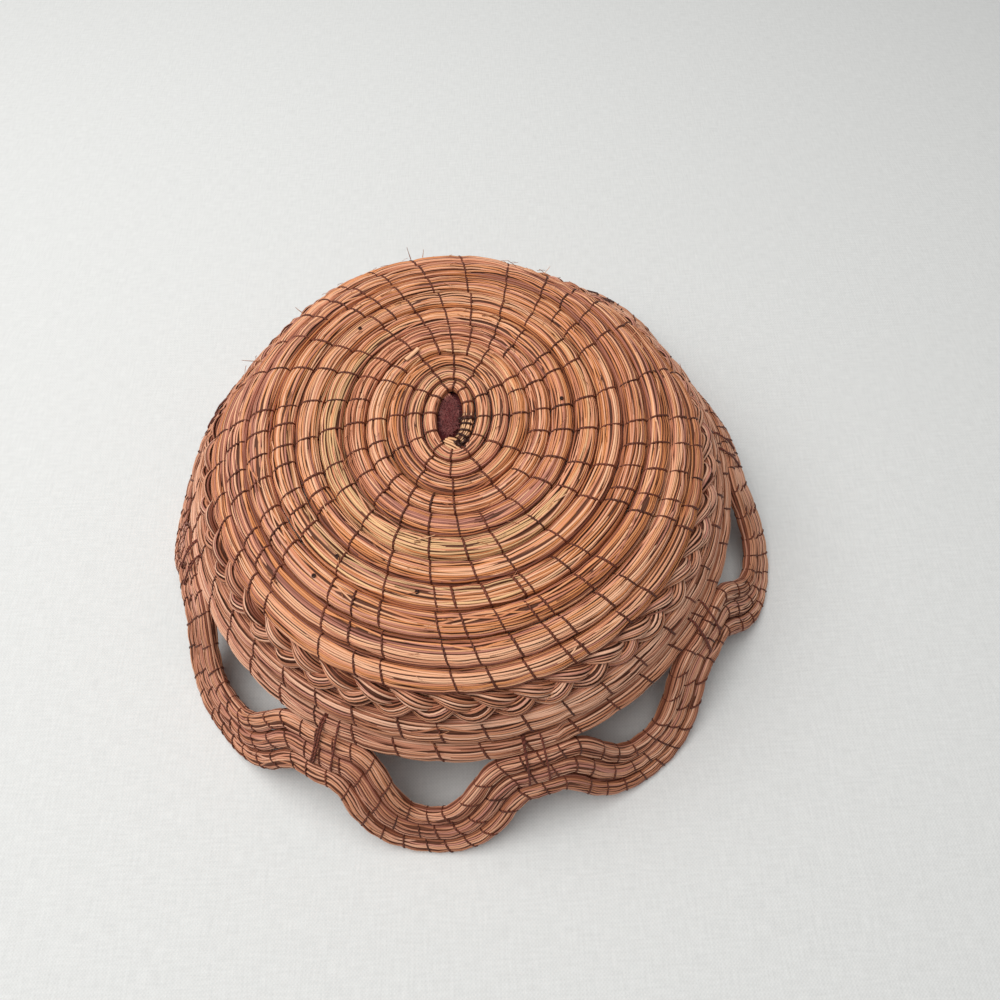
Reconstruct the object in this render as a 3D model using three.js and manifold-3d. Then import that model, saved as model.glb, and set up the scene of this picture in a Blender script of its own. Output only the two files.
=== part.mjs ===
// Coiled pine needle basket, turned bottom up.
// The base of the bowl is on top and the scalloped rim stands on z = 0. All lengths are in millimetres.
import * as THREE from 'three';
import { mergeVertices } from 'three/addons/utils/BufferGeometryUtils.js';
import Module from 'manifold-3d';

const wasm = await Module();
wasm.setup();

// Bowl shape
const height = 65.5;
const ovalReach = 6.4;
const baseRadius = 56;
const shoulderBend = 26;
const wallSlope = degrees(59);
// On the far side the shoulder bends more tightly and the wall below it falls less steeply: by how much,
// at even steps from +X round to -X. A full tightening eases the slope by slopeEasing.
const bendTightening = [0, 0.31, 0.61, 0.38, 0.26, 0.42, 0];
const slopeEasing = degrees(21);
const wallLength = 20;
const flareSlope = degrees(42);

// Coil of the bowl: one bundle of needles in a spiral, whose rows widen from the start outwards
const coilStartAngle = degrees(-60);
const coilStartRadius = 4.06;
const baseTurns = 11 + 5 / 12;
const braidTurns = 1;
const wallTurns = 2;
const startPitch = 4.4;
const basePitch = 7.5;
const turnsToBasePitch = 5.5;
const startNarrowing = 0.1;
const turnsToRound = 4;
const braidPitch = 9.2;
const wallPitch = 8.7;
const lastWallPitch = 7.5;
const rimPitch = 5.9;
const rowGap = 0.6;
const pieceGap = 0.35;
const coilSides = 6;
const coilSteps = 24;
const leastStep = 0.2;
const braidSides = 8;
const braidThickness = 5.6;

// Start of the coil: a wrapped bundle beside an almond opening, over a felt patch
const wrapTurns = 0.15;
const wrapSwell = 0.25;
const wrapTaper = 0.5;
const knotRadius = 1.3;
const discSides = 20;
const patchThickness = 1.2;
const patchReach = 6;
const patchBossWidth = 6;
const patchBossLength = 15;
const patchBossRise = 2.2;
const openingMiddle = new THREE.Vector2(-1.1, 0.8);

// Scalloped rim: three rows that hang in lobes between the joints where they are sewn to the wall. The
// joints are given as angles round from the seam, where each row follows on from the one before.
const lobeJoints = [0, 36, 72, 108, 155, 193, 234, 274, 324, 360].map(degrees);
const jointSlopes = [42, 42, 55, 59, 47, 58, 61, 57, 42, 42].map(degrees);
const lobeSpreads = [0, 0, -3, -1.6, 0, -2.6, 0.6, -2, 0];
const rimRows = ['rim_row_inner', 'rim_row_middle', 'rim_row_outer'];
const rimGirth = 102;
const rimSteps = 120;
const rimSides = 6;
const dropSlope = degrees(59);
const lobeFlare = degrees(58);
const lobeReach = 0.33;
const lobeFlatness = 1.45;
const offsetSamples = 20;
const lobeSoftening = degrees(1.5);
const footCut = 0.1;

// Sewing thread: runs of stitches that cross the rows, and lashings that hold the rim at each joint
const threadWidth = 0.8;
const threadSides = 4;
const longRuns = 12;
const longRunStart = 0.65;
const shortRunStart = 6;
const runEnd = 0.25;
const stitchSlant = degrees(0.28);
const shoulderShare = 0.62;
const grooveRise = 1.2;
const lashingWidth = 1.6;
const lashingCorners = 10;
const lashingSweep = degrees(240);
const lashingShift = degrees(1.2);
const lashingEase = 1.7;
const wallRunPlaces = [0.3, 0.7];

// Distances below which two values or two points count as one
const tiny = 1e-6;
const weldDistance = 1e-5;

const colours = {
  needles: 0xb9774c,
  darkNeedles: 0xa5643f,
  rimNeedles: 0xa05c3c,
  thread: 0x4a2418,
  lashing: 0x7c3826,
  felt: 0x5a2a2a,
  wrap: 0xd9c4a4,
};

function degrees(value) {
  return (value * Math.PI) / 180;
}

const braidStart = baseTurns;
const wallStart = braidStart + braidTurns;
const rimStart = wallStart + wallTurns;
const rimEnd = rimStart + rimRows.length;

// How wide a row is at a given turn of the spiral
const pitchKnots = [
  [0, startPitch],
  [turnsToBasePitch, basePitch],
  [braidStart, basePitch],
  [braidStart + 0.5, braidPitch],
  [wallStart + 0.5, wallPitch],
  [wallStart + 1.5, lastWallPitch],
  [rimStart + 0.5, rimPitch],
  [rimEnd, rimPitch],
];

function pitchAt(turn) {
  const last = pitchKnots.length - 1;
  for (let i = 0; i < last; i += 1) {
    const [from, low] = pitchKnots[i];
    const [to, high] = pitchKnots[i + 1];
    if (turn <= to) {
      return low + ((high - low) * (turn - from)) / (to - from);
    }
  }
  return pitchKnots[last][1];
}

// How far along the bowl's profile, from its middle, the spiral has come at a given turn
function reachAt(turn) {
  let reach = coilStartRadius;
  for (let i = 0; i < pitchKnots.length - 1; i += 1) {
    const [from] = pitchKnots[i];
    const to = Math.min(pitchKnots[i + 1][0], turn);
    if (to > from) {
      reach += ((pitchAt(from) + pitchAt(to)) / 2) * (to - from);
    }
  }
  return reach;
}

function rowRadius(turn) {
  const narrow = startNarrowing * Math.max(0, 1 - turn / turnsToRound);
  return (pitchAt(turn) * (1 - narrow) - rowGap) / 2;
}

const hexagonRise = Math.cos(Math.PI / coilSides);
const baseRowRise = hexagonRise * rowRadius(turnsToBasePitch);

function angleAt(turn) {
  return coilStartAngle + 2 * Math.PI * turn;
}

function tighteningAt(angle) {
  const steps = bendTightening.length - 1;
  const turned = THREE.MathUtils.euclideanModulo(angle, 2 * Math.PI);
  const step = Math.min((turned / Math.PI) * steps, steps);
  const i = Math.min(Math.floor(step), steps - 1);
  const eased = (1 - Math.cos(Math.PI * (step - i))) / 2;
  return THREE.MathUtils.lerp(bendTightening[i], bendTightening[i + 1], eased);
}

// The line that the middles of the rows follow from axis to rim, as [radius, height, slope] at a turn
function profileAt(turn) {
  const reach = reachAt(turn);
  if (reach <= baseRadius) {
    return [reach, height - baseRowRise, 0];
  }
  const tightening = tighteningAt(angleAt(turn));
  const bendRadius = shoulderBend * (1 - tightening);
  const fall = wallSlope - slopeEasing * tightening;
  const bend = Math.min((reach - baseRadius) / bendRadius, fall);
  let radius = baseRadius + bendRadius * Math.sin(bend);
  let level = height - baseRowRise - bendRadius * (1 - Math.cos(bend));
  let slope = bend;
  const beyondBend = reach - baseRadius - bendRadius * fall;
  if (beyondBend > 0) {
    const onWall = Math.min(beyondBend, wallLength + (shoulderBend * wallSlope - bendRadius * fall));
    radius += onWall * Math.cos(fall);
    level -= onWall * Math.sin(fall);
    const onFlare = beyondBend - onWall;
    radius += onFlare * Math.cos(flareSlope);
    level -= onFlare * Math.sin(flareSlope);
    slope = onFlare > 0 ? flareSlope : fall;
  }
  return [radius, level, slope];
}

function ovalPoint(radius, level, angle) {
  return new THREE.Vector3(radius * Math.cos(angle), (radius + ovalReach) * Math.sin(angle), level);
}

function outwards(slope, angle) {
  return new THREE.Vector3(
    Math.sin(slope) * Math.cos(angle),
    Math.sin(slope) * Math.sin(angle),
    Math.cos(slope),
  );
}

// A row of the bowl at a turn: where its middle is and which way its outer face looks
function bowlStation(turn) {
  const angle = angleAt(turn);
  const [radius, level, slope] = profileAt(turn);
  const flush = slope === 0 ? baseRowRise - hexagonRise * rowRadius(turn) : 0;
  return { middle: ovalPoint(radius, level + flush, angle), face: outwards(slope, angle) };
}

// Which lobe of the rim lies at a share of the way round from the seam, and how far across it, from 0 to 1
function lobeAt(share) {
  const angle = THREE.MathUtils.euclideanModulo(share, 1) * 2 * Math.PI;
  const lobe = lobeJoints.findIndex((joint) => joint > angle) - 1;
  const across = (angle - lobeJoints[lobe]) / (lobeJoints[lobe + 1] - lobeJoints[lobe]);
  return { lobe, across };
}

const rimBand = (rimRows.length - 1) * rimPitch;
const footLevel = hexagonRise * rowRadius(rimEnd) - footCut * 2 * rowRadius(rimEnd);

// How far the lobes must drop at this side of the bowl to stand on the ground
function dropAt(share) {
  const innerLevel = profileAt(rimStart + THREE.MathUtils.euclideanModulo(share, 1))[1];
  return (innerLevel - rimBand * Math.sin(lobeFlare) - footLevel) / Math.sin(dropSlope);
}

// How far below the joints the innermost row of the rim hangs
function innerHang(share) {
  const offMiddle = Math.abs(lobeAt(share).across - 1 / 2) / lobeReach;
  return offMiddle >= 1 ? 0 : (dropAt(share) * (1 + Math.cos(Math.PI * offMiddle ** lobeFlatness))) / 2;
}

// The rows of the rim lie side by side, so each follows the innermost one at a steady distance
function offsetHang(share, offset) {
  let hang = 0;
  for (let i = -offsetSamples; i <= offsetSamples; i += 1) {
    const aside = (offset * i) / offsetSamples;
    const below = Math.sqrt(offset ** 2 - aside ** 2);
    hang = Math.max(hang, innerHang(share + aside / (2 * Math.PI * rimGirth)) + below);
  }
  return hang;
}

function hangAt(share, row) {
  const aside = lobeSoftening / (2 * Math.PI);
  const places = [share - aside, share, share + aside];
  return places.reduce((sum, place) => sum + offsetHang(place, row * rimPitch), 0) / places.length;
}

function rimStation(turn) {
  const row = THREE.MathUtils.clamp(Math.floor(turn - rimStart + tiny), 0, rimRows.length - 1);
  const share = turn - rimStart - row;
  const angle = angleAt(turn);
  const { lobe, across } = lobeAt(share);
  const jointSlope = jointSlopes[across < 1 / 2 ? lobe : lobe + 1];
  const upperSlope = THREE.MathUtils.lerp(jointSlope, dropSlope, Math.sin(Math.PI * across) ** 2);
  const hang = hangAt(share, row);
  const drop = dropAt(share);
  const steep = Math.min(hang, drop);
  const flared = Math.max(hang - drop, 0);
  const lobeShare = THREE.MathUtils.clamp((hang - row * rimPitch) / drop, 0, 1);
  const [radius, level] = profileAt(rimStart + share);
  const spread = lobeSpreads[lobe] * lobeShare;
  const out = radius + steep * Math.cos(upperSlope) + flared * Math.cos(lobeFlare) + spread;
  const down = level - steep * Math.sin(upperSlope) - flared * Math.sin(lobeFlare);
  const tilt = THREE.MathUtils.lerp(upperSlope, lobeFlare, lobeShare);
  return { middle: ovalPoint(out, down, angle), face: outwards(tilt, angle) };
}

// Closes rings of points into one body, with flat ends
function bodyFromRings(rings) {
  const sides = rings[0].length;
  const positions = rings.flat().flatMap((point) => point.toArray());
  const indices = [];
  const last = (rings.length - 1) * sides;
  for (let here = 0; here < last; here += sides) {
    const next = here + sides;
    for (let j = 0; j < sides; j += 1) {
      const k = (j + 1) % sides;
      indices.push(here + j, here + k, next + k);
      indices.push(here + j, next + k, next + j);
    }
  }
  for (let j = 1; j < sides - 1; j += 1) {
    indices.push(0, j + 1, j);
    indices.push(last, last + j, last + j + 1);
  }
  const geometry = new THREE.BufferGeometry();
  geometry.setAttribute('position', new THREE.Float32BufferAttribute(positions, 3));
  geometry.setIndex(indices);
  return geometry;
}

// The rings of a tube whose section is square to its path and turned to a given face
function tubeRings(stations, sides, widthAt, riseAt) {
  return stations.map((station, i) => {
    const before = stations[Math.max(0, i - 1)].middle;
    const after = stations[Math.min(stations.length - 1, i + 1)].middle;
    const along = station.along ?? after.clone().sub(before).normalize();
    const across = new THREE.Vector3().crossVectors(station.face, along).normalize();
    const up = new THREE.Vector3().crossVectors(along, across).normalize();
    const ring = [];
    for (let j = 0; j < sides; j += 1) {
      const turned = (2 * Math.PI * j) / sides;
      const point = station.middle.clone();
      point.addScaledVector(across, Math.cos(turned) * widthAt(i));
      point.addScaledVector(up, Math.sin(turned) * riseAt(i));
      ring.push(point);
    }
    return ring;
  });
}

function turnsBetween(from, to, steps) {
  const turns = [];
  const first = Math.ceil(from * steps + leastStep);
  const last = Math.floor(to * steps - leastStep);
  turns.push(from);
  for (let i = first; i <= last; i += 1) {
    turns.push(i / steps);
  }
  turns.push(to);
  return turns;
}

function turnShare(gap, turn) {
  const radius = profileAt(turn)[0];
  return gap / (2 * Math.PI * radius);
}

// A point of a row as its straight facets lie, so that ends and what crosses the row follow it closely
function chordStation(turn, stationAt = bowlStation, steps = coilSteps) {
  const before = Math.floor(turn * steps + tiny) / steps;
  const share = (turn - before) * steps;
  const first = stationAt(before);
  const second = stationAt(before + 1 / steps);
  const along = second.middle.clone().sub(first.middle).normalize();
  const middle = first.middle.clone().lerp(second.middle, share);
  const face = first.face.clone().lerp(second.face, share).normalize();
  return { middle, face, out: new THREE.Vector3().crossVectors(along, face).normalize() };
}

// The stations of a stretch of coil, with the same slant at its ends as the stretches that it meets
function coilStations(turns, stationAt, steps) {
  return turns.map((turn) => {
    const before = stationAt(turn - 1 / steps).middle;
    const after = stationAt(turn + 1 / steps).middle;
    return { ...chordStation(turn, stationAt, steps), along: after.clone().sub(before).normalize() };
  });
}

function coilBody(from, to, stationAt, steps, sides) {
  const turns = turnsBetween(from, to, steps);
  const radiusAt = (i) => rowRadius(turns[i]);
  return bodyFromRings(tubeRings(coilStations(turns, stationAt, steps), sides, radiusAt, radiusAt));
}

function toManifold(geometry) {
  const merged = mergeVertices(geometry.clone(), weldDistance);
  return new wasm.Manifold(new wasm.Mesh({
    numProp: 3,
    vertProperties: new Float32Array(merged.attributes.position.array),
    triVerts: new Uint32Array(merged.index.array),
  }));
}

function fromManifold(solid) {
  const mesh = solid.getMesh();
  const geometry = new THREE.BufferGeometry();
  geometry.setAttribute('position', new THREE.BufferAttribute(new Float32Array(mesh.vertProperties), 3));
  geometry.setIndex(new THREE.BufferAttribute(new Uint32Array(mesh.triVerts), 1));
  return geometry;
}

function plainBox(sizeX, sizeY, sizeZ, centre) {
  const box = new THREE.BoxGeometry(sizeX, sizeY, sizeZ);
  box.deleteAttribute('normal');
  box.deleteAttribute('uv');
  box.translate(centre.x, centre.y, centre.z);
  return box;
}

// Cuts a row flat where it stands on the ground
function cutFlatAtGround(geometry) {
  const span = 4 * height;
  const ground = plainBox(span, span, height, new THREE.Vector3(0, 0, -height / 2));
  return fromManifold(toManifold(geometry).subtract(toManifold(ground)));
}

function ovalDisc(halfWidth, halfLength, thickness, middle) {
  const disc = new THREE.CylinderGeometry(1, 1, thickness, discSides);
  disc.deleteAttribute('normal');
  disc.deleteAttribute('uv');
  disc.rotateX(Math.PI / 2);
  disc.scale(halfWidth, halfLength, 1);
  disc.translate(middle.x, middle.y, middle.z);
  return disc;
}

const basket = new THREE.Group();
basket.name = 'pine_needle_basket';

function finish(colour, roughness) {
  return new THREE.MeshStandardMaterial({ color: colour, roughness, metalness: 0 });
}

function addPiece(name, geometry, material) {
  const mesh = new THREE.Mesh(geometry, material);
  mesh.name = name;
  basket.add(mesh);
  return mesh;
}

// Felt patch: it lies inside the bowl under the start of the coil and swells up into the opening
function addPatch() {
  const startDepth = 2 * hexagonRise * rowRadius(1) + pieceGap;
  const patchTop = height - startDepth;
  const flat = ovalDisc(
    patchReach,
    patchReach + ovalReach,
    patchThickness,
    new THREE.Vector3(0, 0, patchTop - patchThickness / 2),
  );
  const bossHeight = patchBossRise + patchThickness;
  const boss = ovalDisc(
    patchBossWidth / 2,
    patchBossLength / 2,
    bossHeight,
    new THREE.Vector3(openingMiddle.x, openingMiddle.y, patchTop - patchThickness + bossHeight / 2),
  );
  const solid = toManifold(mergeVertices(flat)).add(toManifold(mergeVertices(boss)));
  addPiece('centre_patch', fromManifold(solid), finish(colours.felt, 0.95));
}

// The wrapped bundle that the coil starts from, and the knot at its foot
function addStart() {
  const turns = turnsBetween(0, wrapTurns, coilSteps * 2);
  const radiusAt = (i) => rowRadius(turns[i]) + (i === 0 ? -wrapTaper : wrapSwell);
  const rings = tubeRings(turns.map(bowlStation), coilSides, radiusAt, (i) => rowRadius(turns[i]));
  addPiece('start_wrap', bodyFromRings(rings), finish(colours.wrap, 0.8));
  const station = bowlStation(0);
  const along = bowlStation(1 / coilSteps).middle.sub(station.middle).normalize();
  const knot = new THREE.IcosahedronGeometry(knotRadius, 1);
  const knotMesh = addPiece('start_knot', knot, finish(colours.thread, 0.7));
  knotMesh.position.copy(station.middle).addScaledVector(along, -(knotRadius + pieceGap));
}

function addBowlCoil() {
  const from = wrapTurns + turnShare(pieceGap, wrapTurns);
  const body = coilBody(from, braidStart, bowlStation, coilSteps, coilSides);
  addPiece('bowl_coil', body, finish(colours.needles, 0.65));
}

// The plait that follows the coil for one turn, as the flat cord that its three strands fill
function addBraid() {
  const from = braidStart + turnShare(pieceGap, braidStart);
  const turns = turnsBetween(from, wallStart, coilSteps);
  const shrink = 1 / Math.cos(Math.PI / coilSteps);
  const widthAt = (i) => rowRadius(turns[i]) / shrink - pieceGap;
  const riseAt = () => braidThickness / 2;
  const stations = coilStations(turns, bowlStation, coilSteps);
  const rings = tubeRings(stations, braidSides, widthAt, riseAt);
  addPiece('plaited_ring', bodyFromRings(rings), finish(colours.darkNeedles, 0.65));
}

function addWallCoil() {
  const from = wallStart + turnShare(pieceGap, wallStart);
  const body = coilBody(from, rimStart, bowlStation, coilSteps, coilSides);
  addPiece('wall_coil', body, finish(colours.darkNeedles, 0.65));
}

function addRimRows() {
  rimRows.forEach((name, row) => {
    const from = rimStart + row + turnShare(pieceGap, rimStart + row);
    const body = coilBody(from, rimStart + row + 1, rimStation, rimSteps, rimSides);
    const last = row === rimRows.length - 1;
    addPiece(name, last ? cutFlatAtGround(body) : body, finish(colours.rimNeedles, 0.65));
  });
}

// The turn at which a slanting run of stitches crosses a row
function crossingTurn(startTurn, slantFrom) {
  const slanted = startTurn + (stitchSlant * (reachAt(startTurn) - slantFrom)) / (2 * Math.PI);
  return startTurn + (stitchSlant * (reachAt(slanted) - slantFrom)) / (2 * Math.PI);
}

// A run climbs over each row: a point above each shoulder of the row, and one in the groove beyond it
function runPoints(firstTurn, rowCount, slantFrom) {
  const clear = pieceGap + threadWidth / 2;
  const points = [];
  for (let row = 0; row < rowCount; row += 1) {
    const turn = crossingTurn(firstTurn + row, slantFrom);
    const station = chordStation(turn);
    const radius = rowRadius(turn);
    const shoulder = shoulderShare * radius;
    [-shoulder, shoulder].forEach((across) => {
      const point = station.middle.clone().addScaledVector(station.out, across);
      points.push(point.addScaledVector(station.face, hexagonRise * radius + clear));
    });
    if (row < rowCount - 1) {
      const beyond = chordStation(crossingTurn(firstTurn + row + 1, slantFrom));
      const groove = station.middle.clone().lerp(beyond.middle, 0.5);
      const between = station.face.clone().add(beyond.face).normalize();
      points.push(groove.addScaledVector(between, grooveRise));
    }
  }
  return points;
}

function addRun(name, firstTurn, rowCount, slantFrom) {
  const stations = runPoints(firstTurn, rowCount, slantFrom).map((middle) => {
    const face = middle.clone().setZ(height).normalize();
    return { middle, face };
  });
  const radius = () => threadWidth / 2;
  const body = bodyFromRings(tubeRings(stations, threadSides, radius, radius));
  addPiece(name, body, finish(colours.thread, 0.6));
}

function addRuns() {
  const spacing = 1 / longRuns;
  for (let i = 0; i < longRuns; i += 1) {
    const longTurn = longRunStart + i * spacing;
    const longRows = Math.floor(braidStart - runEnd - longTurn) + 1;
    addRun(`stitch_run_long_${i + 1}`, longTurn, longRows, 0);
    const shortTurn = shortRunStart + (i + 0.5) * spacing;
    const shortRows = Math.floor(braidStart - runEnd - shortTurn) + 1;
    addRun(`stitch_run_short_${i + 1}`, shortTurn, shortRows, reachAt(shortRunStart));
  }
  lobeJoints.slice(0, -1).forEach((joint, i) => {
    wallRunPlaces.forEach((place, j) => {
      const angle = joint + (lobeJoints[i + 1] - joint) * place;
      const turn = wallStart + angle / (2 * Math.PI);
      addRun(`stitch_run_wall_${i * wallRunPlaces.length + j + 1}`, turn, wallTurns, reachAt(turn));
    });
  });
}

// A lashing hooks round the rim's three rows where they meet the lowest row of the wall. It covers both
// faces of that row and ends in the grooves above it, where the real thread goes through the needles.
function lashingHook(angle) {
  const share = angle / (2 * Math.PI);
  const heading = angleAt(rimStart + share);
  const rows = [{ station: chordStation(rimStart - 1 + share), radius: rowRadius(rimStart - 1 + share) }];
  rimRows.forEach((name, row) => {
    const turn = rimStart + row + share;
    rows.push({ station: chordStation(turn, rimStation, rimSteps), radius: rowRadius(turn) + lashingEase });
  });
  const origin = rows[0].station.middle;
  const out = new THREE.Vector3(Math.cos(heading), Math.sin(heading), 0);
  const up = new THREE.Vector3(0, 0, 1);
  const stepAngle = lashingSweep / (lashingCorners - 1);
  const roundness = 1 / Math.cos(stepAngle / 2);
  const first = Math.PI / 2 - wallSlope + (lashingSweep - Math.PI) / 2;
  const stations = [];
  for (let i = 0; i < lashingCorners; i += 1) {
    const turned = first - i * stepAngle;
    const face = out.clone().multiplyScalar(Math.cos(turned)).addScaledVector(up, Math.sin(turned));
    const reachOf = (row) => row.station.middle.clone().sub(origin).dot(face) + row.radius;
    const furthest = rows.reduce((best, row) => (reachOf(row) > reachOf(best) ? row : best));
    const stand = (furthest.radius + pieceGap + threadWidth / 2) * roundness;
    stations.push({ middle: furthest.station.middle.clone().addScaledVector(face, stand), face });
  }
  return stations;
}

function addLashings() {
  lobeJoints.slice(0, -1).forEach((joint, i) => {
    const angle = i === 0 ? joint + lashingShift : joint;
    const rings = tubeRings(lashingHook(angle), threadSides, () => lashingWidth / 2, () => threadWidth / 2);
    addPiece(`joint_lashing_${i + 1}`, bodyFromRings(rings), finish(colours.lashing, 0.6));
  });
}

// The least gap between neighbouring turns of a coil, measured on points along its straight facets
function leastGap(from, to) {
  const pointsPerStep = 4;
  const step = 1 / (coilSteps * pointsPerStep);
  let least = Infinity;
  for (let turn = from; turn <= to - 1; turn += step) {
    const here = chordStation(turn).middle;
    for (let shift = -2; shift <= 2; shift += 1) {
      const other = Math.min(turn + 1 + shift * step, to);
      const between = here.distanceTo(chordStation(other).middle);
      least = Math.min(least, between - rowRadius(turn) - rowRadius(other));
    }
  }
  return least;
}

function centreOnOrigin() {
  basket.updateMatrixWorld(true);
  const middle = new THREE.Box3().setFromObject(basket, true).getCenter(new THREE.Vector3());
  basket.position.set(-middle.x, -middle.y, 0);
}

addPatch();
addStart();
addBowlCoil();
addBraid();
addWallCoil();
addRimRows();
addLashings();
addRuns();
centreOnOrigin();

console.log(`least gap between the rows of the bowl coil: ${leastGap(wrapTurns, braidStart).toFixed(2)} mm`);
console.log(`least gap between the rows of the wall coil: ${leastGap(wallStart, rimStart).toFixed(2)} mm`);

export default basket;
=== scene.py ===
"""A coiled pine needle basket that stands bottom up on its scalloped rim.

Each row is made as a basket maker makes it: a bundle of separate needles, wound in one spiral from the
middle of the base to the rim, plaited for one turn on the way and sewn row to row with thread. Lengths
are in metres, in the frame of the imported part.
"""

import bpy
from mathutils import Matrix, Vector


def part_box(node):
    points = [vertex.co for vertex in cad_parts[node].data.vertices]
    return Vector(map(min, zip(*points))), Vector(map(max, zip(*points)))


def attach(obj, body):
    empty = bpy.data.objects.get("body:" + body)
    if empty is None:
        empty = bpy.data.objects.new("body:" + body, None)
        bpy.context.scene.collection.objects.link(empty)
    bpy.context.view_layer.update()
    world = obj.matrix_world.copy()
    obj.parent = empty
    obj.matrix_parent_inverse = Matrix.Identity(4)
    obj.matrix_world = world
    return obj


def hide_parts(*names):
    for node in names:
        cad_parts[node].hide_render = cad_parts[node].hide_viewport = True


bl_info = {
    "name": "Pine needle basket",
    "version": (1, 0, 0),
    "blender": (4, 5, 0),
    "location": "View3D > Sidebar > Basket",
    "description": "Builds a coiled pine needle basket, needle by needle, round its packed part",
    "category": "Add Mesh",
}

from typing import NamedTuple

import bpy
import numpy as np
from bpy.props import FloatProperty, FloatVectorProperty, IntProperty, PointerProperty
from mathutils import Matrix

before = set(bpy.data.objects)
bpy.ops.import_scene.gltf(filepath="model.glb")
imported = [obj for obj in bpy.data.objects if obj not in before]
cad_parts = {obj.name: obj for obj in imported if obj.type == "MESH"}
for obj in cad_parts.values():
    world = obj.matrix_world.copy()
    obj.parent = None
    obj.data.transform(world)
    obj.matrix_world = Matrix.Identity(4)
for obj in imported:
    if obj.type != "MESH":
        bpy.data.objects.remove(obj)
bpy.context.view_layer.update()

MM = 0.001
TURN = 2 * np.pi
RIM_ROWS = ("rim_row_inner", "rim_row_middle", "rim_row_outer")


def linear(red, green, blue):
    """A colour given as it looks on a screen, from 0 to 255, in the values that a shader takes."""
    foot, foot_slope, lift, power = 0.04045, 12.92, 0.055, 2.4
    shares = np.array([red, green, blue]) / 255
    return tuple(np.where(shares <= foot, shares / foot_slope, ((shares + lift) / (1 + lift)) ** power))


def toned(tone, share_of_light):
    """A colour made darker or lighter."""
    return tuple(min(1, part * share_of_light) for part in tone)


def node_middle(name):
    low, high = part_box(name)
    return (np.array(low) + np.array(high)) / 2


def nodes_named(*starts):
    return [name for name in sorted(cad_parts) if name.startswith(starts)]


# Sizes and colours that a user would change


def number(name, description, value, **extra):
    return FloatProperty(name=name, description=description, default=value, **extra)


def length(name, description, millimetres):
    return number(name, description, millimetres * MM, unit="LENGTH", precision=5)


def angle(name, description, degrees):
    return number(name, description, np.radians(degrees), unit="ROTATION")


def share(name, description, value):
    return number(name, description, value, min=0, subtype="FACTOR")


def count(name, description, value):
    return IntProperty(name=name, description=description, default=value, min=1)


def colour(name, description, *levels):
    return FloatVectorProperty(
        name=name, description=description, default=linear(*levels), min=0, max=1, subtype="COLOR"
    )


class BasketShape(bpy.types.PropertyGroup):
    """The line that the rows follow, from the middle of the base to the rim."""

    height: length("Height", "Height of the base above the ground", 65.5)
    oval_reach: length("Oval reach", "How much further the basket reaches to the front and back", 6.4)
    base_radius: length("Base radius", "Reach of the flat base", 56)
    shoulder_bend: length("Shoulder bend", "Radius of the bend from base to wall", 26)
    wall_slope: angle("Wall slope", "How steeply the wall falls", 59)
    wall_length: length("Wall length", "Length of the straight wall", 20)
    flare_slope: angle("Flare slope", "Slope of the outermost rows", 42)
    start_angle: angle("Start angle", "Where the spiral starts, round from +X", -60)
    start_radius: length("Start radius", "How far from the middle the spiral starts", 4.06)
    base_turns: number("Base turns", "Turns of the coil before the plait", 11 + 5 / 12)
    wall_turns: count("Wall turns", "Turns of the coil below the plait", 2)
    start_pitch: length("Start pitch", "Width of the first row", 4.4)
    base_pitch: length("Base pitch", "Width of a row of the base", 7.5)
    plait_pitch: length("Plait pitch", "Width of the plait", 9.2)
    wall_pitch: length("Wall pitch", "Width of the first row below the plait", 8.7)
    last_wall_pitch: length("Last wall pitch", "Width of the lowest row of the wall", 7.5)
    rim_pitch: length("Rim pitch", "Width of a row of the rim", 5.9)
    row_gap: length("Row gap", "Gap between two rows of the part", 0.6)
    drop_slope: angle("Drop slope", "How steeply a lobe of the rim falls", 59)
    lobe_flare: angle("Lobe flare", "Slope of the rows at the foot of a lobe", 58)
    lobe_reach: share("Lobe reach", "Half the width of a lobe as a share of the way between its joints", 0.33)
    lobe_flatness: number("Lobe flatness", "How square the foot of a lobe is", 1.45)
    rim_girth: length("Rim girth", "Radius that the widths of the lobes are reckoned at", 102)


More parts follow.
